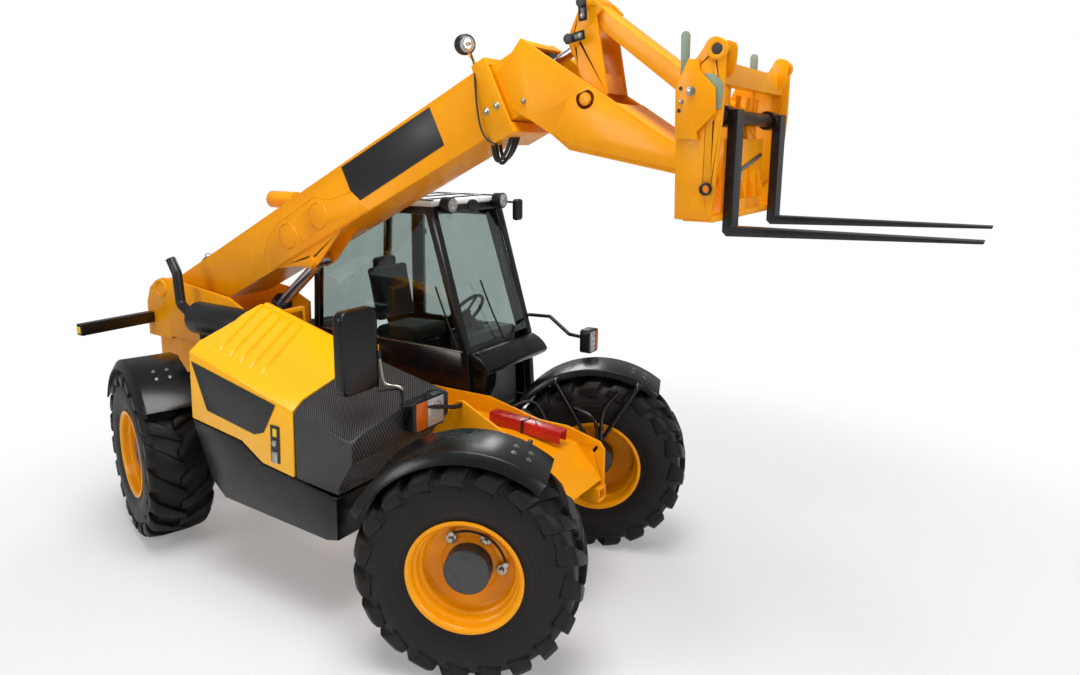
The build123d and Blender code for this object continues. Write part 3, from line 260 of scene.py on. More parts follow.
def dress(piece, finish, body="chassis", *replaced, slot=None):
    """Gives a piece its finish, body and slot, and hides the nodes that it stands for."""
    piece.data.materials.clear()
    piece.data.materials.append(FINISH[finish])
    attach(piece, body)
    if replaced:
        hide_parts(*replaced)
    return piece


def softened(node, finish, width):
    """A copy of a CAD node with its flat faces merged and its edges rounded, in place of the node."""
    source = frame["nodes"][node]
    piece = source.copy()
    piece.data = source.data.copy()
    piece.parent = None
    piece.matrix_world = Matrix.Identity(4)
    bpy.context.collection.objects.link(piece)
    piece.hide_render = piece.hide_viewport = False
    piece.name = piece.data.name = f"{node}.finished"
    pick(piece)
    if piece.data.has_custom_normals:
        bpy.ops.mesh.customdata_custom_splitnormals_clear()
    mode("EDIT")
    bpy.ops.mesh.select_all(action="SELECT")
    bpy.ops.mesh.remove_doubles(threshold=WELD)
    bpy.ops.mesh.dissolve_limited(angle_limit=radians(FLAT_WITHIN))
    # a merged face with an opening in it rounds cleanly only as triangles
    bpy.ops.mesh.quads_convert_to_tris(quad_method="BEAUTY", ngon_method="BEAUTY")
    mode("OBJECT")
    rounded(piece, width, clamp=False)
    return dress(piece, finish, BODY_OF[node], node, slot=SLOT_OF[node])


# ---- finishes
def linear(code):
    """The linear colour of an sRGB hex value; a colour from the panel is linear already."""
    if not isinstance(code, str):
        return tuple(code)
    channels = [int(code[k:k + 2], 16) / 255 for k in (0, 2, 4)]
    return (*(c / 12.92 if c <= 0.04045 else ((c + 0.055) / 1.055) ** 2.4 for c in channels), 1.0)


def add(tree, kind, inputs=None, links=None, **properties):
    """Adds a shader node with its settings and links."""
    node = tree.nodes.new(f"ShaderNode{kind}")
    for key, value in properties.items():
        setattr(node, key, value)
    for key, value in (inputs or {}).items():
        node.inputs[key].default_value = value
    for key, output in (links or {}).items():
        tree.links.new(output, node.inputs[key])
    return node


def finish(name, light, dark, roughness, grain_mm=6, depth_mm=0.15, *, spread=0.05, drift_mm=350,
           strength=0.35, **sockets):
    """A material whose colour drifts between two tones, with uneven gloss and a fine grain."""
    material = bpy.data.materials.new(name)
    material.use_nodes = True
    tree = material.node_tree
    shader = tree.nodes["Principled BSDF"]
    place = add(tree, "TexCoord").outputs["Object"]
    drift = add(tree, "TexNoise", {"Scale": 1000 / drift_mm, "Detail": 4.0, "Roughness": 0.6},
                {"Vector": place})
    tone = add(tree, "MapRange", {"From Min": 0.35, "From Max": 0.65}, {"Value": drift.outputs["Fac"]})
    colour = add(tree, "Mix", {6: linear(light), 7: linear(dark)}, {0: tone.outputs[0]}, data_type="RGBA")
    gloss = add(tree, "MapRange", {"From Min": 0.3, "From Max": 0.7, "To Min": roughness - spread,
                                             "To Max": roughness + spread}, {"Value": drift.outputs["Fac"]})
    grain = add(tree, "TexNoise", {"Scale": 1000 / grain_mm, "Detail": 3.0}, {"Vector": place})
    bump = add(tree, "Bump", {"Strength": strength, "Distance": depth_mm / 1000},
               {"Height": grain.outputs["Fac"]})
    tree.links.new(colour.outputs[2], shader.inputs["Base Color"])
    tree.links.new(gloss.outputs[0], shader.inputs["Roughness"])
    tree.links.new(bump.outputs[0], shader.inputs["Normal"])
    for key, value in sockets.items():
        shader.inputs[key.replace("_", " ")].default_value = value
    FINISH[name] = material
    return tree, shader, place, colour, bump


def make_finishes():
    """Make every finish of the machine, each from what the real one is."""
    look = bpy.context.scene.telehandler
    # chassis and boom: two-pack polyurethane enamel over primer, sprayed, glossy with a faint orange peel
    finish(YELLOW, look.paint, look.paint_shade, 0.3, 7, 0.12, spread=0.04,
           Specular_IOR_Level=0.22, Coat_Weight=0.08, Coat_Roughness=0.08)
    # engine cover: lacquered moulding, a lighter yellow than the steel
    finish("yellow_bonnet_lacquer", look.bonnet, look.bonnet, 0.28, 9, 0.08, spread=0.04,
           Specular_IOR_Level=0.4, Coat_Weight=0.2, Coat_Roughness=0.08)
    # frames, axles, bars and rams: black satin enamel
    finish(BLACK, "101011", "0B0B0C", 0.26, 6, 0.1, Coat_Weight=0.2)
    # forks: black lacquer on forged steel, scuffed grey on the faces
    finish("forged_steel_lacquer", "0F0F11", "1B1B1D", 0.3, 9, 0.2, drift_mm=120)
    # fork shaft: bare steel with rust between the forks' eyes
    finish("rusty_shaft_steel", "6B4228", "3A332F", 0.42, 4, 0.2, drift_mm=60, Metallic=0.7)
    # engine: cast iron
    finish("cast_iron", "4A4A4C", "38383A", 0.6, 5, 0.5, Metallic=0.4)
    # mudguards, skirt, housings: moulded polypropylene, satin black
    finish(MOULDED, "0E0E0F", "0A0A0B", 0.27, 5, 0.08, spread=0.04, Specular_IOR_Level=0.4)
    # air cleaner, lamp housings, steering wheel: textured ABS
    finish(ABS, "131314", "0E0E0F", 0.38, 4, 0.35)
    # tyres: carbon-black rubber, slightly brown and dusty
    rubber_finish()
    # pod's front: pressed steel louvre sheet, black, with fine slanted ribs, a painted highlight on each
    # rib's crest and painted shade between the ribs
    louvre_finish()
    # windows: green-grey tinted safety glass
    finish("tinted_safety_glass", "BFC9C6", "B8C3C0", 0.02, spread=0.005, strength=0.0,
           Transmission_Weight=1.0, IOR=1.45)
    # lamp covers: clear polycarbonate
    finish("clear_polycarbonate", "F6F7F9", "ECEEF1", 0.08, 14, 1.2, spread=0.02, strength=0.5,
           Transmission_Weight=0.6, IOR=1.58)
    # indicator covers: amber acrylic with moulded prisms
    finish("amber_acrylic", "E8701E", "C9560F", 0.12, 10, 0.8, spread=0.03, strength=0.5,
           Transmission_Weight=0.25, IOR=1.49)
    # rear lamp covers: red acrylic
    finish("red_acrylic", "B01010", "8C0A0A", 0.12, 10, 0.8, spread=0.03, strength=0.5, IOR=1.49)
    # mirrors and lamp bowls: silvered glass
    finish("silvered_glass", "E6E9EC", "DDE1E4", 0.03, spread=0.01, strength=0.0, Metallic=1.0)
    # rams' rods: hard chrome, ground and polished
    finish("hard_chrome", "E4DFE6", "D8D4DC", 0.24, 3, 0.02, spread=0.03, drift_mm=90, Metallic=1.0)
    # bolts and pins: zinc-plated steel
    finish(ZINC, "B9B7AC", "A19F96", 0.3, 3, 0.05, drift_mm=40, Metallic=1.0)
    # safety strut: red gloss enamel
    finish("red_gloss_enamel", "C41E20", "A91519", 0.3, 7, 0.1, Coat_Weight=0.3)
    # latch bars of the carriage: grey-green paint
    finish("grey_green_enamel", "8FA08A", "83937E", 0.4, 6, 0.1)
    # roof: off-white moulded panel
    finish("off_white_enamel", "D9DAD8", "CBCCCA", 0.45, 6, 0.2)
    # cab lining: grey moulded plastic
    finish("lining_plastic", "4B4C4E", "404143", 0.55, 4, 0.3)
    # hoses: black nitrile rubber cover
    finish(HOSE, "1B1B1C", "121213", 0.45, 4, 0.15)
    # blank panels where a plain vinyl sheet is stuck on
    finish("black_vinyl", "1A1B1D", "151618", 0.4, 5, 0.04)
    finish("yellow_vinyl", "F2D21A", "E6C612", 0.4, 5, 0.04)
    # hub caps: dark grey paint on cast iron
    finish("hub_grey_enamel", "3B3D40", "313336", 0.42, 5, 0.3)
    # seat: woven polyester over foam
    fabric_finish()


WAVE_SCALE = 0.314                      # a wave texture of this scale has its bands a metre apart
RING_PITCH, RIB_PITCH, THREAD_PITCH = 0.034, 0.012, 0.003


def rubber_finish():
    """Tyre rubber with moulded rings on the sidewall, which follow the tyre's own radius."""
    tree, shader, _, colour, bump = finish(
        "tyre_rubber", "11100F", "0B0B0A", 0.46, 4, 0.4, spread=0.08, drift_mm=140, strength=0.5,
        Specular_IOR_Level=0.22)
    radius = add(tree, "Attribute", attribute_name="radial").outputs["Fac"]
    turns = add(tree, "Math", {1: 2 * pi / RING_PITCH}, {0: radius}, operation="MULTIPLY")
    wave = add(tree, "Math", links={0: turns.outputs[0]}, operation="SINE")
    ridge = add(tree, "MapRange", {"From Min": 0.86, "From Max": 1.0}, {"Value": wave.outputs[0]})
    wall = add(tree, "MapRange", {"From Min": 0.5, "From Max": 0.47}, {"Value": radius})
    rings = add(tree, "Math", links={0: ridge.outputs[0], 1: wall.outputs[0]}, operation="MULTIPLY")
    relief = add(tree, "Bump", {"Strength": 0.7, "Distance": 0.003},
                 {"Height": rings.outputs[0], "Normal": bump.outputs[0]})
    tree.links.new(relief.outputs[0], shader.inputs["Normal"])
    # dust held in the tread's grooves
    groove = add(tree, "MapRange", {"From Min": 0.605, "From Max": 0.585, "To Max": 0.35}, {"Value": radius})
    dust = add(tree, "Mix", {7: linear("2A2724")}, {0: groove.outputs[0], 6: colour.outputs[2]},
               data_type="RGBA")
    tree.links.new(dust.outputs[2], shader.inputs["Base Color"])


def louvre_finish():
    """Black sheet with fine slanted ribs, 12 mm apart."""
    tree, shader, place, _, bump = finish("black_louvre_sheet", "0F0F10", "0A0A0B", 0.36, 6, 0.1)
    slanted = add(tree, "Mapping", {"Rotation": (0, radians(18), radians(-32))}, {"Vector": place})
    wave = add(tree, "TexWave", {"Scale": WAVE_SCALE / RIB_PITCH, "Distortion": 0.0, "Detail": 0.0},
               {"Vector": slanted.outputs[0]}, wave_type="BANDS", bands_direction="X")
    ribs = add(tree, "MapRange", {"From Min": 0.25, "From Max": 0.8}, {"Value": wave.outputs["Fac"]})
    # colour painted on the ribs: a light grey painted highlight on each crest and near-black painted shade in
    # the grooves between them
    rib_painted_light = add(tree, "Mix", {6: linear("050506"), 7: linear("4A4A4D")}, {0: ribs.outputs[0]},
               data_type="RGBA")
    relief = add(tree, "Bump", {"Strength": 0.9, "Distance": 0.004},
                 {"Height": ribs.outputs[0], "Normal": bump.outputs[0]})
    tree.links.new(rib_painted_light.outputs[2], shader.inputs["Base Color"])
    tree.links.new(relief.outputs[0], shader.inputs["Normal"])


def fabric_finish():
    """Woven polyester: two crossed sets of threads 3 mm apart, drawn coarse enough to show."""
    tree, shader, place, _, bump = finish(
        "woven_polyester", "2A2B2F", "222326", 0.8, 5, 0.4, Sheen_Weight=0.4)
    height = None
    for direction in ("X", "Z"):
        wave = add(tree, "TexWave", {"Scale": WAVE_SCALE / THREAD_PITCH}, {"Vector": place},
                   bands_direction=direction)
        links = {0: wave.outputs["Fac"]} if height is None else {0: wave.outputs["Fac"], 1: height}
        height = add(tree, "Math", links=links, operation="MAXIMUM").outputs[0]
    weave = add(tree, "Bump", {"Strength": 0.5, "Distance": 0.0008},
                {"Height": height, "Normal": bump.outputs[0]})
    tree.links.new(weave.outputs[0], shader.inputs["Normal"])


# ---- the packed pieces
# node: finish, width of its rounded edges in metres
NODE_FINISH = {
    "chassis": (YELLOW, 0.004), "axles": (BLACK, 0.008), "engine_block": ("cast_iron", 0.01),
    "bonnet": ("yellow_bonnet_lacquer", 0.008), "pod_skirt": (MOULDED, 0.012),
    "pod_grille": ("black_louvre_sheet", 0.01), "intake": (ABS, 0.01), "rear_light_bar": (BLACK, 0.006),
    "cab_frame": (BLACK, 0.005), "cab_roof": ("off_white_enamel", 0.01), "cab_panels": (BLACK, 0.003),
    "cab_door": (BLACK, 0.003), "cab_console": ("lining_plastic", 0.03), "side_tank": (MOULDED, 0.008),
    "lamps_mirrors": (ABS, 0.005), "boom": (YELLOW, 0.005), "inner_boom": (YELLOW, 0.005),
    "tilt_lever": (YELLOW, 0.004), "tilt_link": (YELLOW, 0.004), "carriage": (YELLOW, 0.003),
    "forks": ("forged_steel_lacquer", 0.004), "lift_barrel": (BLACK, 0.003), "tilt_barrel": (BLACK, 0.003),
    **{f"knuckle_{corner}": (BLACK, 0.005) for corner in CORNERS},
    **{f"mudguard_{corner}": (MOULDED, 0.005) for corner in CORNERS},
    **{f"rim_{corner}": (YELLOW, 0.0025) for corner in CORNERS},
    **{f"tyre_{corner}": ("tyre_rubber", 0.007) for corner in CORNERS},
}
PLAIN_NODES = {"lift_rod": "hard_chrome", "tilt_rod": "hard_chrome", "cab_glass": "tinted_safety_glass",
               "door_glass": "tinted_safety_glass"}


# the bonnet's rear end and length, its shoulder, and the width from there to its hinge line
BONNET_REAR, BONNET_LENGTH, BONNET_EDGE, BONNET_SPAN = -1.345, 0.975, -0.99, 0.57
# middle of the near mirror
MIRROR_X, MIRROR_Y, MIRROR_Z = 0.027, -0.925, 1.715
# the hub cap's radius, and how far its foot, the wheel's disc and its face lie out along the axle
CAP_RADIUS, CAP_FOOT, DISC_FACE, CAP_FACE = 0.1295, 0.057, 0.056, 0.1465


def bonnet_top(x, y):
    """Height of the bonnet's sloping top."""
    run = (x - BONNET_REAR) / BONNET_LENGTH
    shoulder, inner = 1.59 - 0.22 * run, 1.76 - 0.24 * run
    return shoulder + (y - BONNET_EDGE) / BONNET_SPAN * (inner - shoulder)


def on_mirror_box(vertex):
    """Whether a vertex of the lamps and mirrors is on the near mirror's plain box."""
    x, y, z = vertex.co
    return y < -0.77 and z > 1.466 and (y < -0.9 or z > 1.95 or abs(x - MIRROR_X) > 0.034)


def finish_nodes():
    """Round and paint the packed pieces."""
    for node, (paint, width) in NODE_FINISH.items():
        piece = softened(node, paint, width)
        if node.startswith("tyre_"):
            # each vertex's distance from the axle, for the rings and the dust
            away = wheel_place(node[5:]).inverted()
            radial = piece.data.attributes.new("radial", "FLOAT", "POINT")
            for vertex, value in zip(piece.data.vertices, radial.data):
                value.value = (away @ vertex.co).xy.length
        if node == "bonnet":
            # the solid's raised bands go down to the top's level, under the rounded bands
            for vertex in piece.data.vertices:
                x, y, z = vertex.co
                if y > -0.996 and -0.004 < z - bonnet_top(x, y) < 0.03:
                    vertex.co.z = bonnet_top(x, y)
        if node == "lamps_mirrors":
            choose(piece, "VERT", on_mirror_box)
            bpy.ops.mesh.delete(type="VERT")
            mode("OBJECT")
        if node.startswith("rim_"):
            away = wheel_place(node[4:]).inverted()
            piece.data.materials.append(FINISH["hub_grey_enamel"])
            for face in piece.data.polygons:
                spot = away @ face.center
                if spot.xy.length < CAP_RADIUS and spot.z > CAP_FOOT:
                    face.material_index = 1
    for node, paint in PLAIN_NODES.items():
        plain = frame["nodes"][node]
        for holder in plain.material_slots:
            holder.material = FINISH[paint]
        if not plain.material_slots:
            plain.data.materials.append(FINISH[paint])


# ---- wheels and guards
WASHER = 0.003                              # thickness under a bolt's head
STUD_CIRCLE, HOSE_CIRCLE = 0.178, 0.205     # radii round the axle
CAP_RIB = [(-0.014, -0.03), (0.01, -0.022), (0.022, 0), (0.01, 0.022), (-0.014, 0.03)]


def bolt(name, place, radius=0.012, height=0.008):
    """A hexagon bolt on a washer, its head along the place's Z."""
    washer = boss(name + ".washer", radius * 1.35, WASHER, place, 0.0008, 20)
    head = boss(name + ".head", radius, height, place @ shift(0, 0, WASHER), 0.0015, 6)
    return joined(name, [washer, head])


def dress_wheels():
    """Add the studs, valve hose and cap ribs of the wheels."""
    for corner in CORNERS:
        place, body = wheel_place(corner), f"wheel_{corner}"
        studs = []
        for degrees in (-3, 60, 124):
            spot = place @ turned(degrees) @ shift(STUD_CIRCLE, 0, DISC_FACE)
            studs += [boss(f"stud_base_{corner}", 0.03, 0.008, spot, 0.002),
                      bolt(f"stud_{corner}", spot, 0.017, 0.03)]
        dress(joined(f"wheel_studs_{corner}", studs), ZINC, body)
        ring = [place @ Vector((HOSE_CIRCLE * cos(a), HOSE_CIRCLE * sin(a), 0.075))
                for a in (radians(8 + 10 * k) for k in range(12))]
        dress(tube(f"tyre_valve_hose_{corner}", ring, 0.007), HOSE, body)
        for k, degrees in enumerate((8, 118)):
            spot = place @ turned(degrees) @ shift(HOSE_CIRCLE, 0, DISC_FACE)
            dress(boss(f"hose_block_{corner}_{k}", 0.016, 0.026, spot, 0.003), ZINC, body)
        marks = [slab(f"cap_rib_{corner}_{k}", CAP_RIB, 0.004,
                      place @ turned(120 * k + 100) @ shift(0.072, 0, CAP_FACE), 0.0015) for k in range(3)]
        dress(joined(f"hub_cap_ribs_{corner}", marks), "hub_grey_enamel", body)


def dress_guards():
    """Add the bolts on top of each mudguard."""
    for corner in CORNERS:
        joint = JOINTS[f"wheel_{corner}_spin"]
        centre, out = Vector(joint["pos_m"]), Vector(joint["axis"]).normalized()
        ahead = Vector((0, 0, 1)).cross(out) * (1 if corner.endswith("right") else -1)
        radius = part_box(f"mudguard_{corner}")[1][2] - centre.z
        bolts = []
        for angle in (radians(20), radians(27)):
            normal = ahead * sin(angle) + Vector((0, 0, cos(angle)))
            for across_by in (-0.035, 0.055):
                spot = centre + normal * (radius - 0.001) + out * across_by
                bolts.append(bolt(f"guard_bolt_{corner}", facing(spot, normal, ahead), 0.011, 0.007))
        dress(joined(f"guard_bolts_{corner}", bolts), ZINC, BODY_OF[f"mudguard_{corner}"],
              slot="black_plastic")


# ---- engine pod
POD_PANEL = [(-1.324, 1.477), (-0.514, 1.33), (-0.631, 1.134), (-0.716, 1.105), (-1.179, 1.17)]
LATCH_PANEL = [(-0.565, 0.965), (-0.485, 0.965), (-0.485, 1.2), (-0.565, 1.2)]
LATCH_X = -0.525
# the pod's side leans in a little towards its top
POD_LEAN = Matrix(((1, 0, 0, 0), (0, 0.021, -1, -1.0985), (0, 1, 0.021, 0), (0, 0, 0, 1)))
# bands across the bonnet: their start, rear limit, spacing and width, how far each slants back,
# and its height over the top and depth below it
BAND_START, BAND_LIMIT, BAND_PITCH, BAND_WIDTH = -1.237, -1.337, 0.101, 0.097
BAND_SLANT, BAND_HEIGHT, BAND_SINK = 0.19, 0.021, 0.002


def dress_pod():
    """Add the bands, blank panel and latch of the engine pod."""
    bands = []
    for k in range(5):
        clear()
        bpy.ops.mesh.primitive_grid_add(x_subdivisions=12, y_subdivisions=16, size=1)
        band = named(f"bonnet_band_{k}")
        for vertex in band.data.vertices:
            across_band, along_band = vertex.co.x + 0.5, vertex.co.y + 0.5
            x = max(BAND_START + BAND_PITCH * k + BAND_WIDTH * across_band - BAND_SLANT * along_band,
                    BAND_LIMIT + 0.002 * across_band)
            y = -0.978 + 0.53 * along_band
            crown = (1 - abs(2 * across_band - 1) ** 7) * min(1, along_band / 0.08, (1 - along_band) / 0.03)
            vertex.co = (x, y, bonnet_top(x, y) - BAND_SINK + BAND_HEIGHT * crown)
        modifier(band, "SOLIDIFY", thickness=0.006, offset=-1)
        bpy.ops.object.shade_smooth_by_angle(angle=radians(60))
        bands.append(band)
    dress(joined("bonnet_bands", bands), "yellow_bonnet_lacquer", "bonnet")
    dress(slab("pod_blank_panel", POD_PANEL, 0.003, POD_LEAN, 0.001), "black_vinyl", "bonnet")
    dress(slab("pod_latch_plate", LATCH_PANEL, 0.003, POD_LEAN, 0.001), "black_vinyl", "bonnet")
    dress(block("pod_latch_handle", (0.05, 0.075, 0.014), POD_LEAN @ shift(LATCH_X, 1.0, 0.004), 0.005),
          ZINC, "bonnet", slot="black_plastic")
    dress(boss("pod_latch_lock", 0.02, 0.012, POD_LEAN @ shift(LATCH_X, 1.09, 0.002), 0.003),
          ZINC, "bonnet", slot="black_plastic")
    dress(block("pod_latch_mark", (0.035, 0.05, 0.004), POD_LEAN @ shift(LATCH_X, 1.155, 0.003), 0.001),
          "yellow_vinyl", "bonnet")


# ---- boom
BOOM_PANEL = [(-0.782, 2.72), (-0.008, 3.096), (0.105, 2.867), (-0.663, 2.478)]
LIGHT_CABLE = [(0.26, -0.12, 3.4), (0.33, -0.18, 3.33), (0.35, -0.207, 3.26), (0.36, -0.214, 3.184),
               (0.374, -0.214, 3.047), (0.402, -0.214, 2.943), (0.452, -0.212, 2.885), (0.5, -0.19, 2.87)]
LIGHT_SPOT, LIGHT_AIM = Vector((0.2, -0.1, 3.46)), Vector((0.82, -0.5, -0.1))


def dress_boom():
    """Add the blank panels, bolts, cable, hoses and work light of the boom."""
    for name, y in (("right", -0.1905), ("left", 0.1925)):
        dress(slab(f"boom_blank_panel_{name}", BOOM_PANEL, 0.002, side(y), 0.0008), "black_vinyl", "boom")
    bolts = [bolt(f"collar_bolt_{k}", sideways(x, -0.204, z), 0.016, 0.01)
             for k, (x, z) in enumerate(((0.43, 3.059), (0.502, 3.091)))]
    dress(joined("collar_bolts", bolts), ZINC, "boom", slot="yellow_paint")
    dress(tube("work_light_cable", LIGHT_CABLE, 0.006), HOSE, "boom")
    for k, (y, drop) in enumerate(((-0.13, 0.07), (-0.09, 0.085), (-0.05, 0.06))):
        loop = [(0.42, y, 2.93), (0.43, y - 0.01, 2.87 - drop * 0.5), (0.47, y - 0.02, 2.83 - drop),
                (0.53, y - 0.02, 2.87 - drop * 0.8), (0.56, y, 2.93 - drop * 0.2), (0.57, y, 2.99)]
        dress(tube(f"boom_hose_loop_{k}", loop, 0.011), HOSE, "boom")
    housing, lens, bowl = (facing(LIGHT_SPOT + LIGHT_AIM * reach, LIGHT_AIM)
                           for reach in (-0.04, 0.035, 0.043))
    dress(boss("collar_light", 0.062, 0.075, housing, 0.022, segments=4), ABS, "boom")
    dress(boss("collar_light_lens", 0.047, 0.008, lens, 0.003), "clear_polycarbonate", "boom")
    dress(boss("collar_light_bowl", 0.03, 0.004, bowl, 0.001, hole=0.012), "silvered_glass", "boom")
    bracket = [(0.21, -0.1, 3.42), (0.27, -0.1, 3.37), (0.3, -0.1, 3.3)]
    dress(tube("work_light_bracket", bracket, 0.009), YELLOW, "boom")
    dress(boss("work_light_stem", 0.012, 0.05, facing((0.3, -0.1, 3.28), (0, 0, 1), (1, 0, 0)), 0.002),
          BLACK, "boom")


# ---- head: lever, link and fork carriage
# plates seen from the side, along the machine and up
HOOK_PLATE = [(1.79, 3.245), (1.837, 3.243), (1.844, 3.195), (1.921, 3.115), (1.927, 3.012), (1.843, 2.925),
              (1.85, 2.89), (1.742, 2.895), (1.735, 3.122)]
LATCH_BAR = [(1.737, 3.355), (1.745, 3.368), (1.757, 3.372), (1.771, 3.368), (1.779, 3.352), (1.779, 3.254),
             (1.742, 3.173)]
LATCH_PLATE = [(1.865, 3.183), (1.906, 3.177), (1.94, 3.15), (1.952, 3.123), (1.946, 3.029), (1.915, 3.017),
               (1.86, 3.03)]
INNER_EAR = [(1.88, 3.17), (1.885, 3.29), (1.9, 3.322), (1.93, 3.33), (1.965, 3.316), (1.973, 3.29),
             (1.968, 3.2), (1.95, 3.17)]
FRONT_RIB = [(1.869, 3.11), (1.895, 3.1), (1.885, 2.98), (1.893, 2.86), (1.915, 2.72), (1.945, 2.61),
             (1.9, 2.6), (1.872, 2.72), (1.86, 2.88), (1.862, 3.0)]
# along the boom and square to it
NOSE_PLATE = [(4.008, -0.386), (4.14, -0.402), (4.44, -0.885), (4.612, -1.105), (4.535, -1.172),
              (4.41, -1.0), (3.905, -0.62), (3.842, -0.512)]
NOSE_SHEET = 0.0118                     # thickness of the nose's side plates
EAR_X, EAR_Z, HOOK_FACE = 1.916, 3.282, 0.5705
# each retainer's pin and far end
RETAINERS = (((1.042, 3.609), (1.048, 3.542)), ((0.969, 3.429), (1.036, 3.442)))


def dress_head():
    """Add the retainers, plates, ears, ribs, pins and hoses of the lever and fork carriage."""
    for k, (a, b) in enumerate(RETAINERS):
        pin, end = Vector((a[0], -0.19, a[1])), Vector((b[0], -0.19, b[1]))
        place = facing((pin + end) / 2 - Vector((0, 0.001, 0)), (0, -1, 0), (end - pin).normalized())
        dress(block(f"pin_retainer_{k}", (0.05, 0.12, 0.012), place, 0.005), BLACK, "tilt_lever")
        dress(boss(f"pin_head_{k}", 0.026, 0.022, sideways(*(pin - Vector((0, 0.004, 0)))), 0.004),
              "hub_grey_enamel", "tilt_lever")
        dress(bolt(f"retainer_bolt_{k}", sideways(*(end - Vector((0, 0.007, 0)))), 0.011, 0.008),
              ZINC, "tilt_lever")
    for s in (-1, 1):
        dress(slab(f"hook_plate_{s}", HOOK_PLATE, 0.012, side(s * 0.558 + (0.0 if s < 0 else 0.012)), 0.002),
              YELLOW, "carriage")
        for name, outline, sheet, y in (("bar", LATCH_BAR, 0.012, 0.52), ("plate", LATCH_PLATE, 0.01, 0.545)):
            dress(slab(f"latch_{name}_{s}", outline, sheet, side(s * y), 0.002), "grey_green_enamel",
                  "carriage")
        ears = [boss(f"ear_boss_{s}", 0.047, 0.03, sideways(EAR_X, s * 0.53, EAR_Z), 0.004, hole=0.024),
                slab(f"inner_ear_{s}", INNER_EAR, 0.016, side(s * 0.44), 0.003),
                boss(f"inner_ear_boss_{s}", 0.036, 0.03, sideways(1.925, s * 0.425, EAR_Z), 0.003)]
        dress(joined(f"carriage_ears_{s}", ears), YELLOW, "carriage")
        dress(boss(f"ear_pin_{s}", 0.022, 0.13, sideways(EAR_X, s * 0.43, EAR_Z), 0.002), "cast_iron",
              "carriage")
        # thin black discs on each hook plate: painted shade where the plate's two holes are
        hole_shade_discs = [boss(f"hole_{s}", 0.009, 0.0015, sideways(x, s * HOOK_FACE, z), 0)
                 for x, z in ((1.762, 3.118), (1.757, 3.02))]
        dress(joined(f"hook_hole_shade_discs_{s}", hole_shade_discs), ABS, "carriage", slot="black_paint")
        heads = [bolt(f"hook_bolt_{s}", sideways(1.81, s * 0.571, 3.105), 0.016, 0.012),
                 bolt(f"hook_bolt_b_{s}", sideways(1.766, s * 0.571, 3.06), 0.008, 0.006)]
        dress(joined(f"hook_bolts_{s}", heads), ZINC, "carriage")
        dress(boss(f"coupler_pin_{s}", 0.03, 0.012, sideways(1.898, s * 0.56, 2.672), 0.002, hole=0.017),
              BLACK, "carriage")
    for k, (start, run) in enumerate(((-0.53, 0.115), (-0.325, 0.64), (0.425, 0.11))):
        dress(boss(f"fork_shaft_{k}", 0.0345, run, facing((1.9, start, 3.0), (0, 1, 0)), 0.001),
              "rusty_shaft_steel", "carriage")
    ribs = [slab(f"carriage_rib_{k}", FRONT_RIB, 0.012, side(y), 0.002)
            for k, y in enumerate((-0.1, 0.06, 0.2))]
    dress(joined("carriage_ribs", ribs), YELLOW, "carriage")
    for s in (-1, 1):
        face = along_boom(s * 0.1752 + (NOSE_SHEET if s > 0 else 0))
        dress(slab(f"nose_plate_{s}", NOSE_PLATE, NOSE_SHEET, face, 0.003), YELLOW, "inner_boom")
    link = [(1.9, -0.083, 2.747), (1.905, 0.06, 2.78), (1.9, 0.247, 2.819)]
    dress(tube("carriage_link", link, 0.012), ZINC, "carriage")
    for k, (y, drop) in enumerate(((-0.06, 0.0), (-0.02, 0.01), (0.03, 0.02), (0.07, 0.03))):
        run = [(1.79, y, 2.98), (1.84, y - 0.03, 3.02 - drop), (1.865, y - 0.05, 2.95 - drop),
               (1.86, y - 0.02, 2.84), (1.84, y + 0.03, 2.78), (1.8, y + 0.02, 2.8)]
        dress(tube(f"carriage_hose_{k}", run, 0.009), HOSE, "carriage")
    dress(bolt("nose_bolt", sideways(0.671, -0.18, 3.114), 0.012, 0.008), ZINC, "inner_boom")


# ---- cab
PAD_PRESSURE, PAD_STEPS, PAD_SWELL = 4, 20, 0.012       # the cloth's pressure, steps and furthest swell


def cushion(name, size, place):
    """A padded pad: remeshed, swelled as cloth under pressure up to a limit, and smoothed."""
    pad = block(name, size, place, 0.03, 4)
    modifier(pad, "REMESH", mode="VOXEL", voxel_size=0.006)
    start = [vertex.co.copy() for vertex in pad.data.vertices]
    cloth = pad.modifiers.new("Cloth", "CLOTH")
    cloth.settings.use_pressure = True
    cloth.settings.uniform_pressure_force = PAD_PRESSURE
    cloth.settings.effector_weights.gravity = 0
    for step in range(1, PAD_STEPS + 1):
        bpy.context.scene.frame_set(step)
    pick(pad)
    bpy.ops.object.modifier_apply(modifier=cloth.name)
    bpy.context.scene.frame_set(1)
    for vertex, rest in zip(pad.data.vertices, start):
        away = vertex.co - rest
        vertex.co = rest + away * min(1.0, PAD_SWELL / max(away.length, 1e-9))
    modifier(pad, "SUBSURF", levels=1, render_levels=1)
    bpy.ops.object.shade_smooth()
    return pad


SEAT_Y = 0.68                           # middle of the seat and the steering wheel
COWL_HOOD = [(-0.056, 1.418), (-0.02, 1.418), (0.03, 1.395), (0.075, 1.36), (0.103, 1.325), (0.106, 1.305),
             (0.09, 1.285), (0.04, 1.255), (-0.005, 1.236), (-0.04, 1.236)]
COWL_FLANK = [(-0.05, 1.36), (0.085, 1.3), (0.075, 1.2), (0.04, 1.08), (0.0, 0.99), (-0.018, 0.95)]


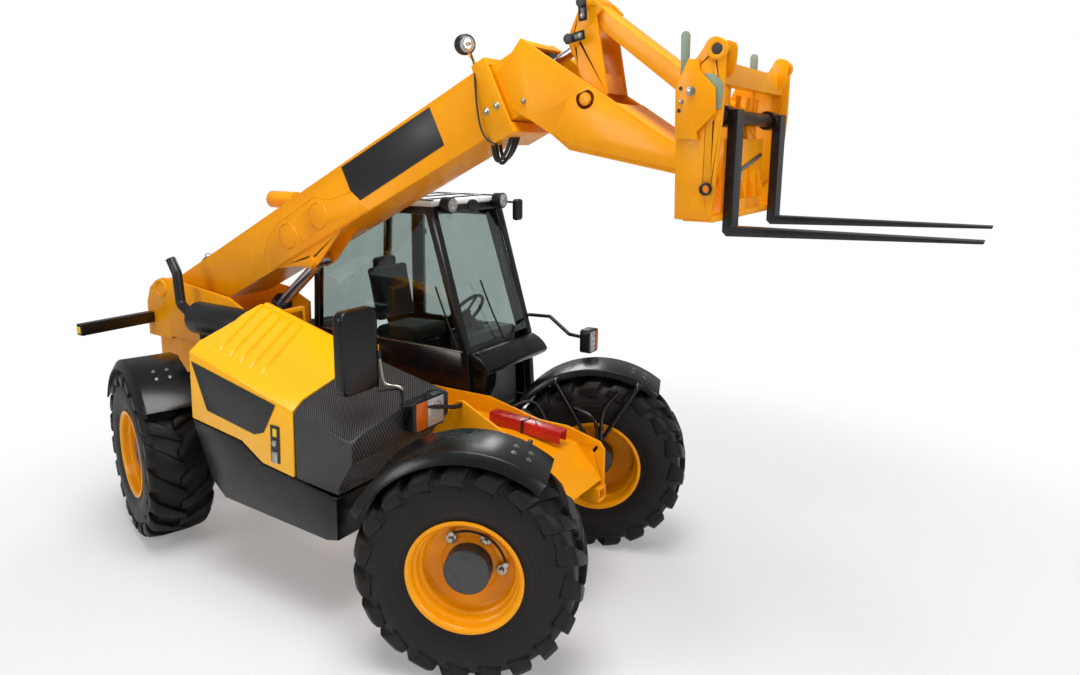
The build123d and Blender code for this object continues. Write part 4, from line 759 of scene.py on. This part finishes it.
def dress_cab():
    """Build the seat, steering wheel, cowl, roof bars and wipers of the cab."""
    back = shift(-1.145, SEAT_Y, 1.7) @ turned(-12, "Y")
    seat = shift(-0.93, SEAT_Y, 1.4) @ turned(-3, "Y")
    pads = (("seat_cushion", (0.44, 0.42, 0.1), seat), ("seat_back", (0.09, 0.42, 0.44), back),
            ("seat_headrest", (0.07, 0.24, 0.13), shift(-1.215, SEAT_Y, 1.915)))
    for k, (name, size, place) in enumerate(pads):
        pad = cushion(name, size, place)
        dress(pad, "woven_polyester", BODY_OF["seat"], *(("seat",) if k == 0 else ()))
    wheel_at = shift(-0.4, SEAT_Y, 1.6) @ turned(-55, "Y")
    clear()
    bpy.ops.mesh.primitive_torus_add(major_radius=0.18, minor_radius=0.014, major_segments=48,
                                     minor_segments=12)
    ring = named("steering_wheel_ring")
    ring.data.transform(wheel_at)
    bpy.ops.object.shade_smooth()
    hub = boss("steering_hub", 0.045, 0.03, wheel_at @ shift(0, 0, -0.02), 0.006)
    spokes = [block(f"steering_spoke_{k}", (0.15, 0.03, 0.01),
                    wheel_at @ turned(120 * k) @ shift(0.1, 0, -0.006), 0.003) for k in range(3)]
    column = boss("steering_column", 0.028, 0.24, wheel_at @ shift(0, 0, -0.26), 0.004)
    dress(joined("steering_wheel", [ring, hub, column, *spokes]), ABS)
    dress(slab("cowl_hood", COWL_HOOD, 0.81, side(1.08), 0.012, 3), MOULDED, "chassis", "cowl")
    dress(block("window_sill_trim", (1.39, 0.004, 0.009), shift(-0.79, 0.2425, 1.43), 0.001), ZINC)
    dress(slab("cowl_flank", COWL_FLANK, 0.15, side(0.42), 0.02, 4), MOULDED)
    # grid of guard bars on the roof
    low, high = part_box("cab_roof")
    bars = []
    for k in range(5):
        x = low[0] + 0.14 + k * (high[0] - low[0] - 0.28) / 4
        bars.append(block(f"roof_bar_{k}", (0.03, high[1] - low[1] - 0.1, 0.012),
                          shift(x, (low[1] + high[1]) / 2, high[2] + 0.005), 0.004))
    for y in (low[1] + 0.05, high[1] - 0.05):
        bars.append(block("roof_rail", (high[0] - low[0] - 0.06, 0.03, 0.014),
                          shift((low[0] + high[0]) / 2, y, high[2] + 0.005), 0.004))
    dress(joined("roof_guard_bars", bars), BLACK)
    # wipers: one over the windscreen, one on the right-hand window
    for name, *points in (("windscreen_wiper", (-0.03, 0.67, 1.46), (-0.075, 0.6, 1.62), (-0.16, 0.55, 1.9)),
                          ("side_wiper", (-0.14, 0.243, 1.46), (-0.22, 0.238, 1.62), (-0.33, 0.238, 1.88))):
        dress(tube(name, points, 0.007), BLACK)


# ---- lamps and mirrors
# each head lamp's middle, width and height
LAMP_FACE = {"right": ((0.196, -0.48, 1.25), 0.26, 0.17), "left": ((0.486, 1.12, 1.415), 0.12, 0.15)}
MIRROR_ARM = [(0.05, -0.765, 1.68), (0.055, -0.755, 1.6), (0.06, -0.745, 1.5), (0.08, -0.73, 1.47),
              (0.15, -0.7, 1.47), (0.168, -0.69, 1.45)]


def dress_lamps():
    """Add the lenses of the head lamps and work lights, and the mirrors."""
    for name, ((x, y, z), width, height) in LAMP_FACE.items():
        outside = -1 if name == "right" else 1
        clear_width = width * 0.6
        inner_y = y - outside * (width - clear_width) / 2
        dress(block(f"head_lamp_lens_{name}", (0.012, clear_width, height), shift(x, inner_y, z), 0.004),
              "clear_polycarbonate")
        dress(block(f"indicator_lens_{name}", (0.014, width - clear_width - 0.006, height),
                    shift(x, y + outside * (clear_width / 2 + 0.003), z), 0.004), "amber_acrylic")
        across_bowl = min(clear_width, height)
        dress(boss(f"head_lamp_bowl_{name}", across_bowl * 0.42, 0.006,
                   facing((x + 0.001, inner_y, z), (1, 0, 0)), 0.002, hole=across_bowl * 0.36),
              "silvered_glass")
    for k, y in enumerate((0.367, 1.012)):
        dress(boss(f"roof_lamp_lens_{k}", 0.05, 0.008, facing((-0.27, y, 2.45), (1, 0, 0)), 0.003),
              "clear_polycarbonate")
        dress(boss(f"roof_lamp_bowl_{k}", 0.024, 0.005, facing((-0.264, y, 2.45), (1, 0, 0)), 0.002),
              "silvered_glass")
    shell = block("mirror_shell", (0.29, 0.49, 0.07), across(MIRROR_X) @ shift(MIRROR_Y, MIRROR_Z, 0), 0)
    # the edges through the shell's depth round off first, as its four corners
    ends = shell.data.vertices
    choose(shell, "EDGE", lambda edge: abs(ends[edge.vertices[0]].co.x - ends[edge.vertices[1]].co.x) > 0.05)
    bpy.ops.mesh.bevel(offset=0.055, segments=8)
    mode("OBJECT")
    rounded(shell, 0.016, 4, 40)
    dress(shell, MOULDED)
    dress(block("mirror_clamp", (0.05, 0.03, 0.05), shift(0.04, -0.768, 1.66), 0.008), ABS)
    dress(tube("mirror_arm", MIRROR_ARM, 0.0095), ZINC)
    # mirror glass faces back towards the driver
    dress(block("mirror_glass", (0.006, 0.25, 0.44), shift(-0.01, MIRROR_Y, MIRROR_Z), 0.002),
          "silvered_glass", slot="tinted_glass")
    # small round mirror between the roof lamps
    dress(boss("roof_mirror", 0.045, 0.03, facing((-0.275, 0.6, 2.44), (1, -0.3, -0.1)), 0.008), ABS)
    arm = [(-0.33, 1.06, 2.43), (-0.27, 1.13, 2.44), (-0.25, 1.165, 2.42)]
    dress(tube("far_mirror_arm", arm, 0.009), BLACK)
    dress(block("far_mirror_shell", (0.06, 0.09, 0.17), shift(-0.25, 1.185, 2.37), 0.025, 4), ABS)


# ---- front plates and rear
# sections of the strut and its strap: across the strut and up
STRUT_CHANNEL = [(-0.045, 0), (-0.045, 0.078), (0.045, 0.078), (0.045, 0), (0.037, 0), (0.037, 0.07),
                 (-0.037, 0.07), (-0.037, 0)]
STRUT_STRAP = [(-0.05, -0.006), (-0.05, 0.083), (0.05, 0.083), (0.05, -0.006), (0.0465, -0.006),
               (0.0465, 0.0795), (-0.0465, 0.0795), (-0.0465, -0.006)]
GUARD_STAYS = {
    "guard_stay_a": [(0.293, 0.6, 1.1), (0.5, 0.6, 1.07), (0.66, 0.6, 1.05), (0.76, 0.6, 1.02),
                     (0.8, 0.6, 0.95), (0.8, 0.6, 0.87)],
    "guard_stay_b": [(0.955, 0.6, 1.24), (0.86, 0.6, 1.14), (0.83, 0.6, 1.05), (0.825, 0.6, 0.95),
                     (0.825, 0.6, 0.87)],
}
AXLE_HOSES = {
    "axle_hose_a": [(0.32, 0.22, 1.1), (0.4, 0.33, 1.17), (0.5, 0.37, 1.08), (0.6, 0.33, 0.9)],
    "axle_hose_b": [(0.3, 0.22, 1.05), (0.38, 0.3, 1.1), (0.5, 0.33, 1.0), (0.62, 0.3, 0.86)],
}


def dress_front():
    """Add the safety strut, the guard's stays and the axle hoses behind the front plates."""
    lying = shift(0.29, 0.06, 1.056) @ turned(3.5, "Y") @ across()
    dress(slab("strut_channel", STRUT_CHANNEL, 0.54, lying, 0.003), "red_gloss_enamel", "chassis",
          "safety_strut")
    dress(slab("strut_strap", STRUT_STRAP, 0.02, lying @ shift(0, 0, 0.25), 0.0008), BLACK)
    pin = [lying @ Vector(point) for point in
           ((0.0, 0.085, 0.33), (0.01, 0.1, 0.34), (-0.02, 0.1, 0.36), (-0.03, 0.085, 0.35))]
    dress(tube("strut_pin", pin, 0.006), ZINC)
    for name, points in GUARD_STAYS.items():
        dress(tube(name, points, 0.015, 6), BLACK, "knuckle_front_left")
    for name, points in AXLE_HOSES.items():
        dress(tube(name, points, 0.011), HOSE)


def dress_rear():
    """Add the rear work light, and the lamps and markers of the rear light bar."""
    light = facing((-2.93, 0.27, 1.8), (-0.7, 0.2, 0.5))
    dress(boss("rear_work_light", 0.075, 0.07, light, 0.025, segments=4), ABS)
    wire = [(-2.99, 0.27, 1.8), (-3.0, 0.26, 1.9), (-2.96, 0.27, 1.915), (-2.9, 0.28, 1.895),
            (-2.88, 0.28, 1.85)]
    dress(tube("rear_light_wire", wire, 0.004), ZINC)
    low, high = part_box("rear_light_bar")
    middle_x, middle_z = (low[0] + high[0]) / 2, (low[2] + high[2]) / 2
    for s in (-1, 1):
        dress(block(f"rear_lamp_{s}", (0.012, 0.1, 0.06),
                    shift(low[0] - 0.004, s * (high[1] - 0.06), middle_z), 0.003), "red_acrylic")
        dress(block(f"end_marker_{s}", (0.045, 0.008, 0.05),
                    shift(middle_x, s * (high[1] + 0.002), middle_z), 0.002), "yellow_vinyl")


# ---- stage
# name, place and width of each square light
LIGHTS = (("key", (1.5, -1.5, 9.0), 5.0), ("front", (9.0, -2.0, 4.5), 3.5),
          ("side", (-3.5, -9.0, 5.0), 3.5), ("rim", (-5.0, 8.0, 6.0), 3.5))
# the camera's place, its yaw, pitch down and roll, its lens and sensor in mm, and its shift
CAMERA_SPOT, CAMERA_TURN = (3.1286, -4.0281, 2.8557), (123.553, 10.811, 0.181)
CAMERA_LENS, CAMERA_SHIFT = (26.03, 36), (0.0287, -0.0382)


def to_the_eye(tree):
    """Whether a ray comes straight from the camera or on from it through glass."""
    ray = add(tree, "LightPath").outputs
    return add(tree, "Math", links={0: ray["Is Camera Ray"], 1: ray["Is Transmission Ray"]},
               operation="MAXIMUM").outputs[0]


def white_finish(name, shade):
    """White paper, plain white to the eye, with the contact shadow kept near the machine."""
    material = bpy.data.materials.new(name)
    material.use_nodes = True
    tree = material.node_tree
    tree.nodes.remove(tree.nodes["Principled BSDF"])
    paper = add(tree, "BsdfDiffuse", {"Color": (0.82, 0.82, 0.82, 1)})
    glow = add(tree, "Emission", {"Color": (1, 1, 1, 1), "Strength": 1.0})
    place = add(tree, "TexCoord").outputs["Object"]
    reach = add(tree, "VectorMath", {1: (0.6, 0, 0)}, {0: place}, operation="DISTANCE")
    fade = add(tree, "MapRange", {"From Min": 2.8, "From Max": 5.5}, {"Value": reach.outputs["Value"]},
               interpolation_type="SMOOTHSTEP")
    lifted = add(tree, "Mix", {2: shade, 3: 1.0}, {0: fade.outputs[0]})
    seen = add(tree, "Math", links={0: to_the_eye(tree), 1: lifted.outputs[0]}, operation="MULTIPLY")
    both = add(tree, "MixShader", links={0: seen.outputs[0], 1: paper.outputs[0], 2: glow.outputs[0]})
    tree.links.new(both.outputs[0], tree.nodes["Material Output"].inputs["Surface"])
    return material


def make_stage():
    """Lay the white floor, hang the lights and set the camera."""
    look = bpy.context.scene.telehandler
    clear()
    bpy.ops.mesh.primitive_plane_add(size=80)
    floor = named("floor")
    floor.data.transform(shift(0, 0, -0.001))
    floor.data.materials.append(white_finish("white_paper_floor", look.floor_glow))

    world = bpy.data.worlds.new("studio")
    bpy.context.scene.world = world
    world.use_nodes = True
    tree = world.node_tree
    back = tree.nodes["Background"]
    clean = add(tree, "Background", {"Color": (1, 1, 1, 1), "Strength": 1.0})
    back.inputs["Color"].default_value = (1, 1, 1, 1)
    back.inputs["Strength"].default_value = look.sky
    mixed = add(tree, "MixShader", links={0: to_the_eye(tree), 1: back.outputs[0], 2: clean.outputs[0]})
    tree.links.new(mixed.outputs[0], tree.nodes["World Output"].inputs["Surface"])

    for name, place, size in LIGHTS:
        clear()
        bpy.ops.object.light_add(type="AREA", location=place)
        lamp = bpy.context.object
        lamp.name = name
        lamp.data.shape = "SQUARE"
        lamp.data.size = size
        lamp.data.energy = look.key if name == "key" else look.fill
        lamp.rotation_euler = (Vector((0, 0, 1.2)) - Vector(place)).to_track_quat("-Z", "Y").to_euler()

    clear()
    bpy.ops.object.camera_add(location=CAMERA_SPOT)
    camera = bpy.context.object
    yaw, pitch, roll = (radians(degrees) for degrees in CAMERA_TURN)
    ahead = Vector((cos(pitch) * cos(yaw), cos(pitch) * sin(yaw), -sin(pitch)))
    camera.rotation_euler = ahead.to_track_quat("-Z", "Y").to_euler()
    camera.rotation_euler.rotate_axis("Z", roll)
    camera.data.lens, camera.data.sensor_width = CAMERA_LENS
    camera.data.shift_x, camera.data.shift_y = CAMERA_SHIFT
    camera.data.clip_start = 0.05
    bpy.context.scene.camera = camera
    bpy.context.scene.view_settings.view_transform = "Standard"


# ---- add-on
def colour_of(name, text, code):
    """A colour that a user can change."""
    return bpy.props.FloatVectorProperty(name=name, description=text, size=4, subtype="COLOR", min=0, max=1,
                                         default=linear(code))


def power_of(name, text, watts):
    """A light's power that a user can change."""
    return bpy.props.FloatProperty(name=name, description=text, min=0, default=watts, unit="POWER")


class TelehandlerLook(bpy.types.PropertyGroup):
    """Colours and light of the telehandler."""
    paint: colour_of("Paint", "Enamel of the chassis and boom", "F9A508")
    paint_shade: colour_of("Paint, second tone", "Tone that the enamel drifts to", "F49B05")
    bonnet: colour_of("Bonnet", "Lacquer of the engine cover", "FFB80C")
    floor_glow: bpy.props.FloatProperty(
        name="Floor glow", description="Share of plain white that the floor shows", subtype="FACTOR", min=0,
        max=1, default=0.22)
    sky: bpy.props.FloatProperty(
        name="Sky", description="Strength of the even white light", min=0, default=0.31)
    key: power_of("Key light", "Power of the light from above", 620)
    fill: power_of("Fill light", "Power of the side lights", 210)


def operator(key, label, work):
    """One operator of the add-on, which runs one of the functions above and has its docstring."""
    def execute(self, context):
        work()
        return {"FINISHED"}
    return type(f"TELEHANDLER_OT_{key}", (bpy.types.Operator,), {
        "__doc__": work.__doc__, "bl_idname": f"telehandler.{key}", "bl_label": label, "execute": execute})


STEPS = [operator(*step) for step in (
    ("finishes", "Finishes", make_finishes), ("nodes", "Packed pieces", finish_nodes),
    ("wheels", "Wheels", dress_wheels), ("guards", "Mudguards", dress_guards),
    ("pod", "Engine pod", dress_pod), ("boom", "Boom", dress_boom), ("head", "Boom head", dress_head),
    ("cab", "Cab", dress_cab), ("lamps", "Lamps and mirrors", dress_lamps), ("front", "Front", dress_front),
    ("rear", "Rear", dress_rear), ("stage", "Stage", make_stage))]


class TELEHANDLER_PT_panel(bpy.types.Panel):
    """Sizes, colours and steps of the telehandler"""
    bl_label = "Telehandler"
    bl_space_type = "VIEW_3D"
    bl_region_type = "UI"
    bl_category = "Telehandler"

    def draw(self, context):
        for key in TelehandlerLook.__annotations__:
            self.layout.prop(context.scene.telehandler, key)
        for step in STEPS:
            self.layout.operator(step.bl_idname)


def register():
    for kind in (TelehandlerLook, *STEPS, TELEHANDLER_PT_panel):
        bpy.utils.register_class(kind)
    bpy.types.Scene.telehandler = bpy.props.PointerProperty(type=TelehandlerLook)


def unregister():
    del bpy.types.Scene.telehandler
    for kind in (TELEHANDLER_PT_panel, *reversed(STEPS), TelehandlerLook):
        bpy.utils.unregister_class(kind)


def main():
    register()
    for step in STEPS:
        space, name = step.bl_idname.split(".")
        getattr(getattr(bpy.ops, space), name)()


if __name__ == "__main__":
    main()
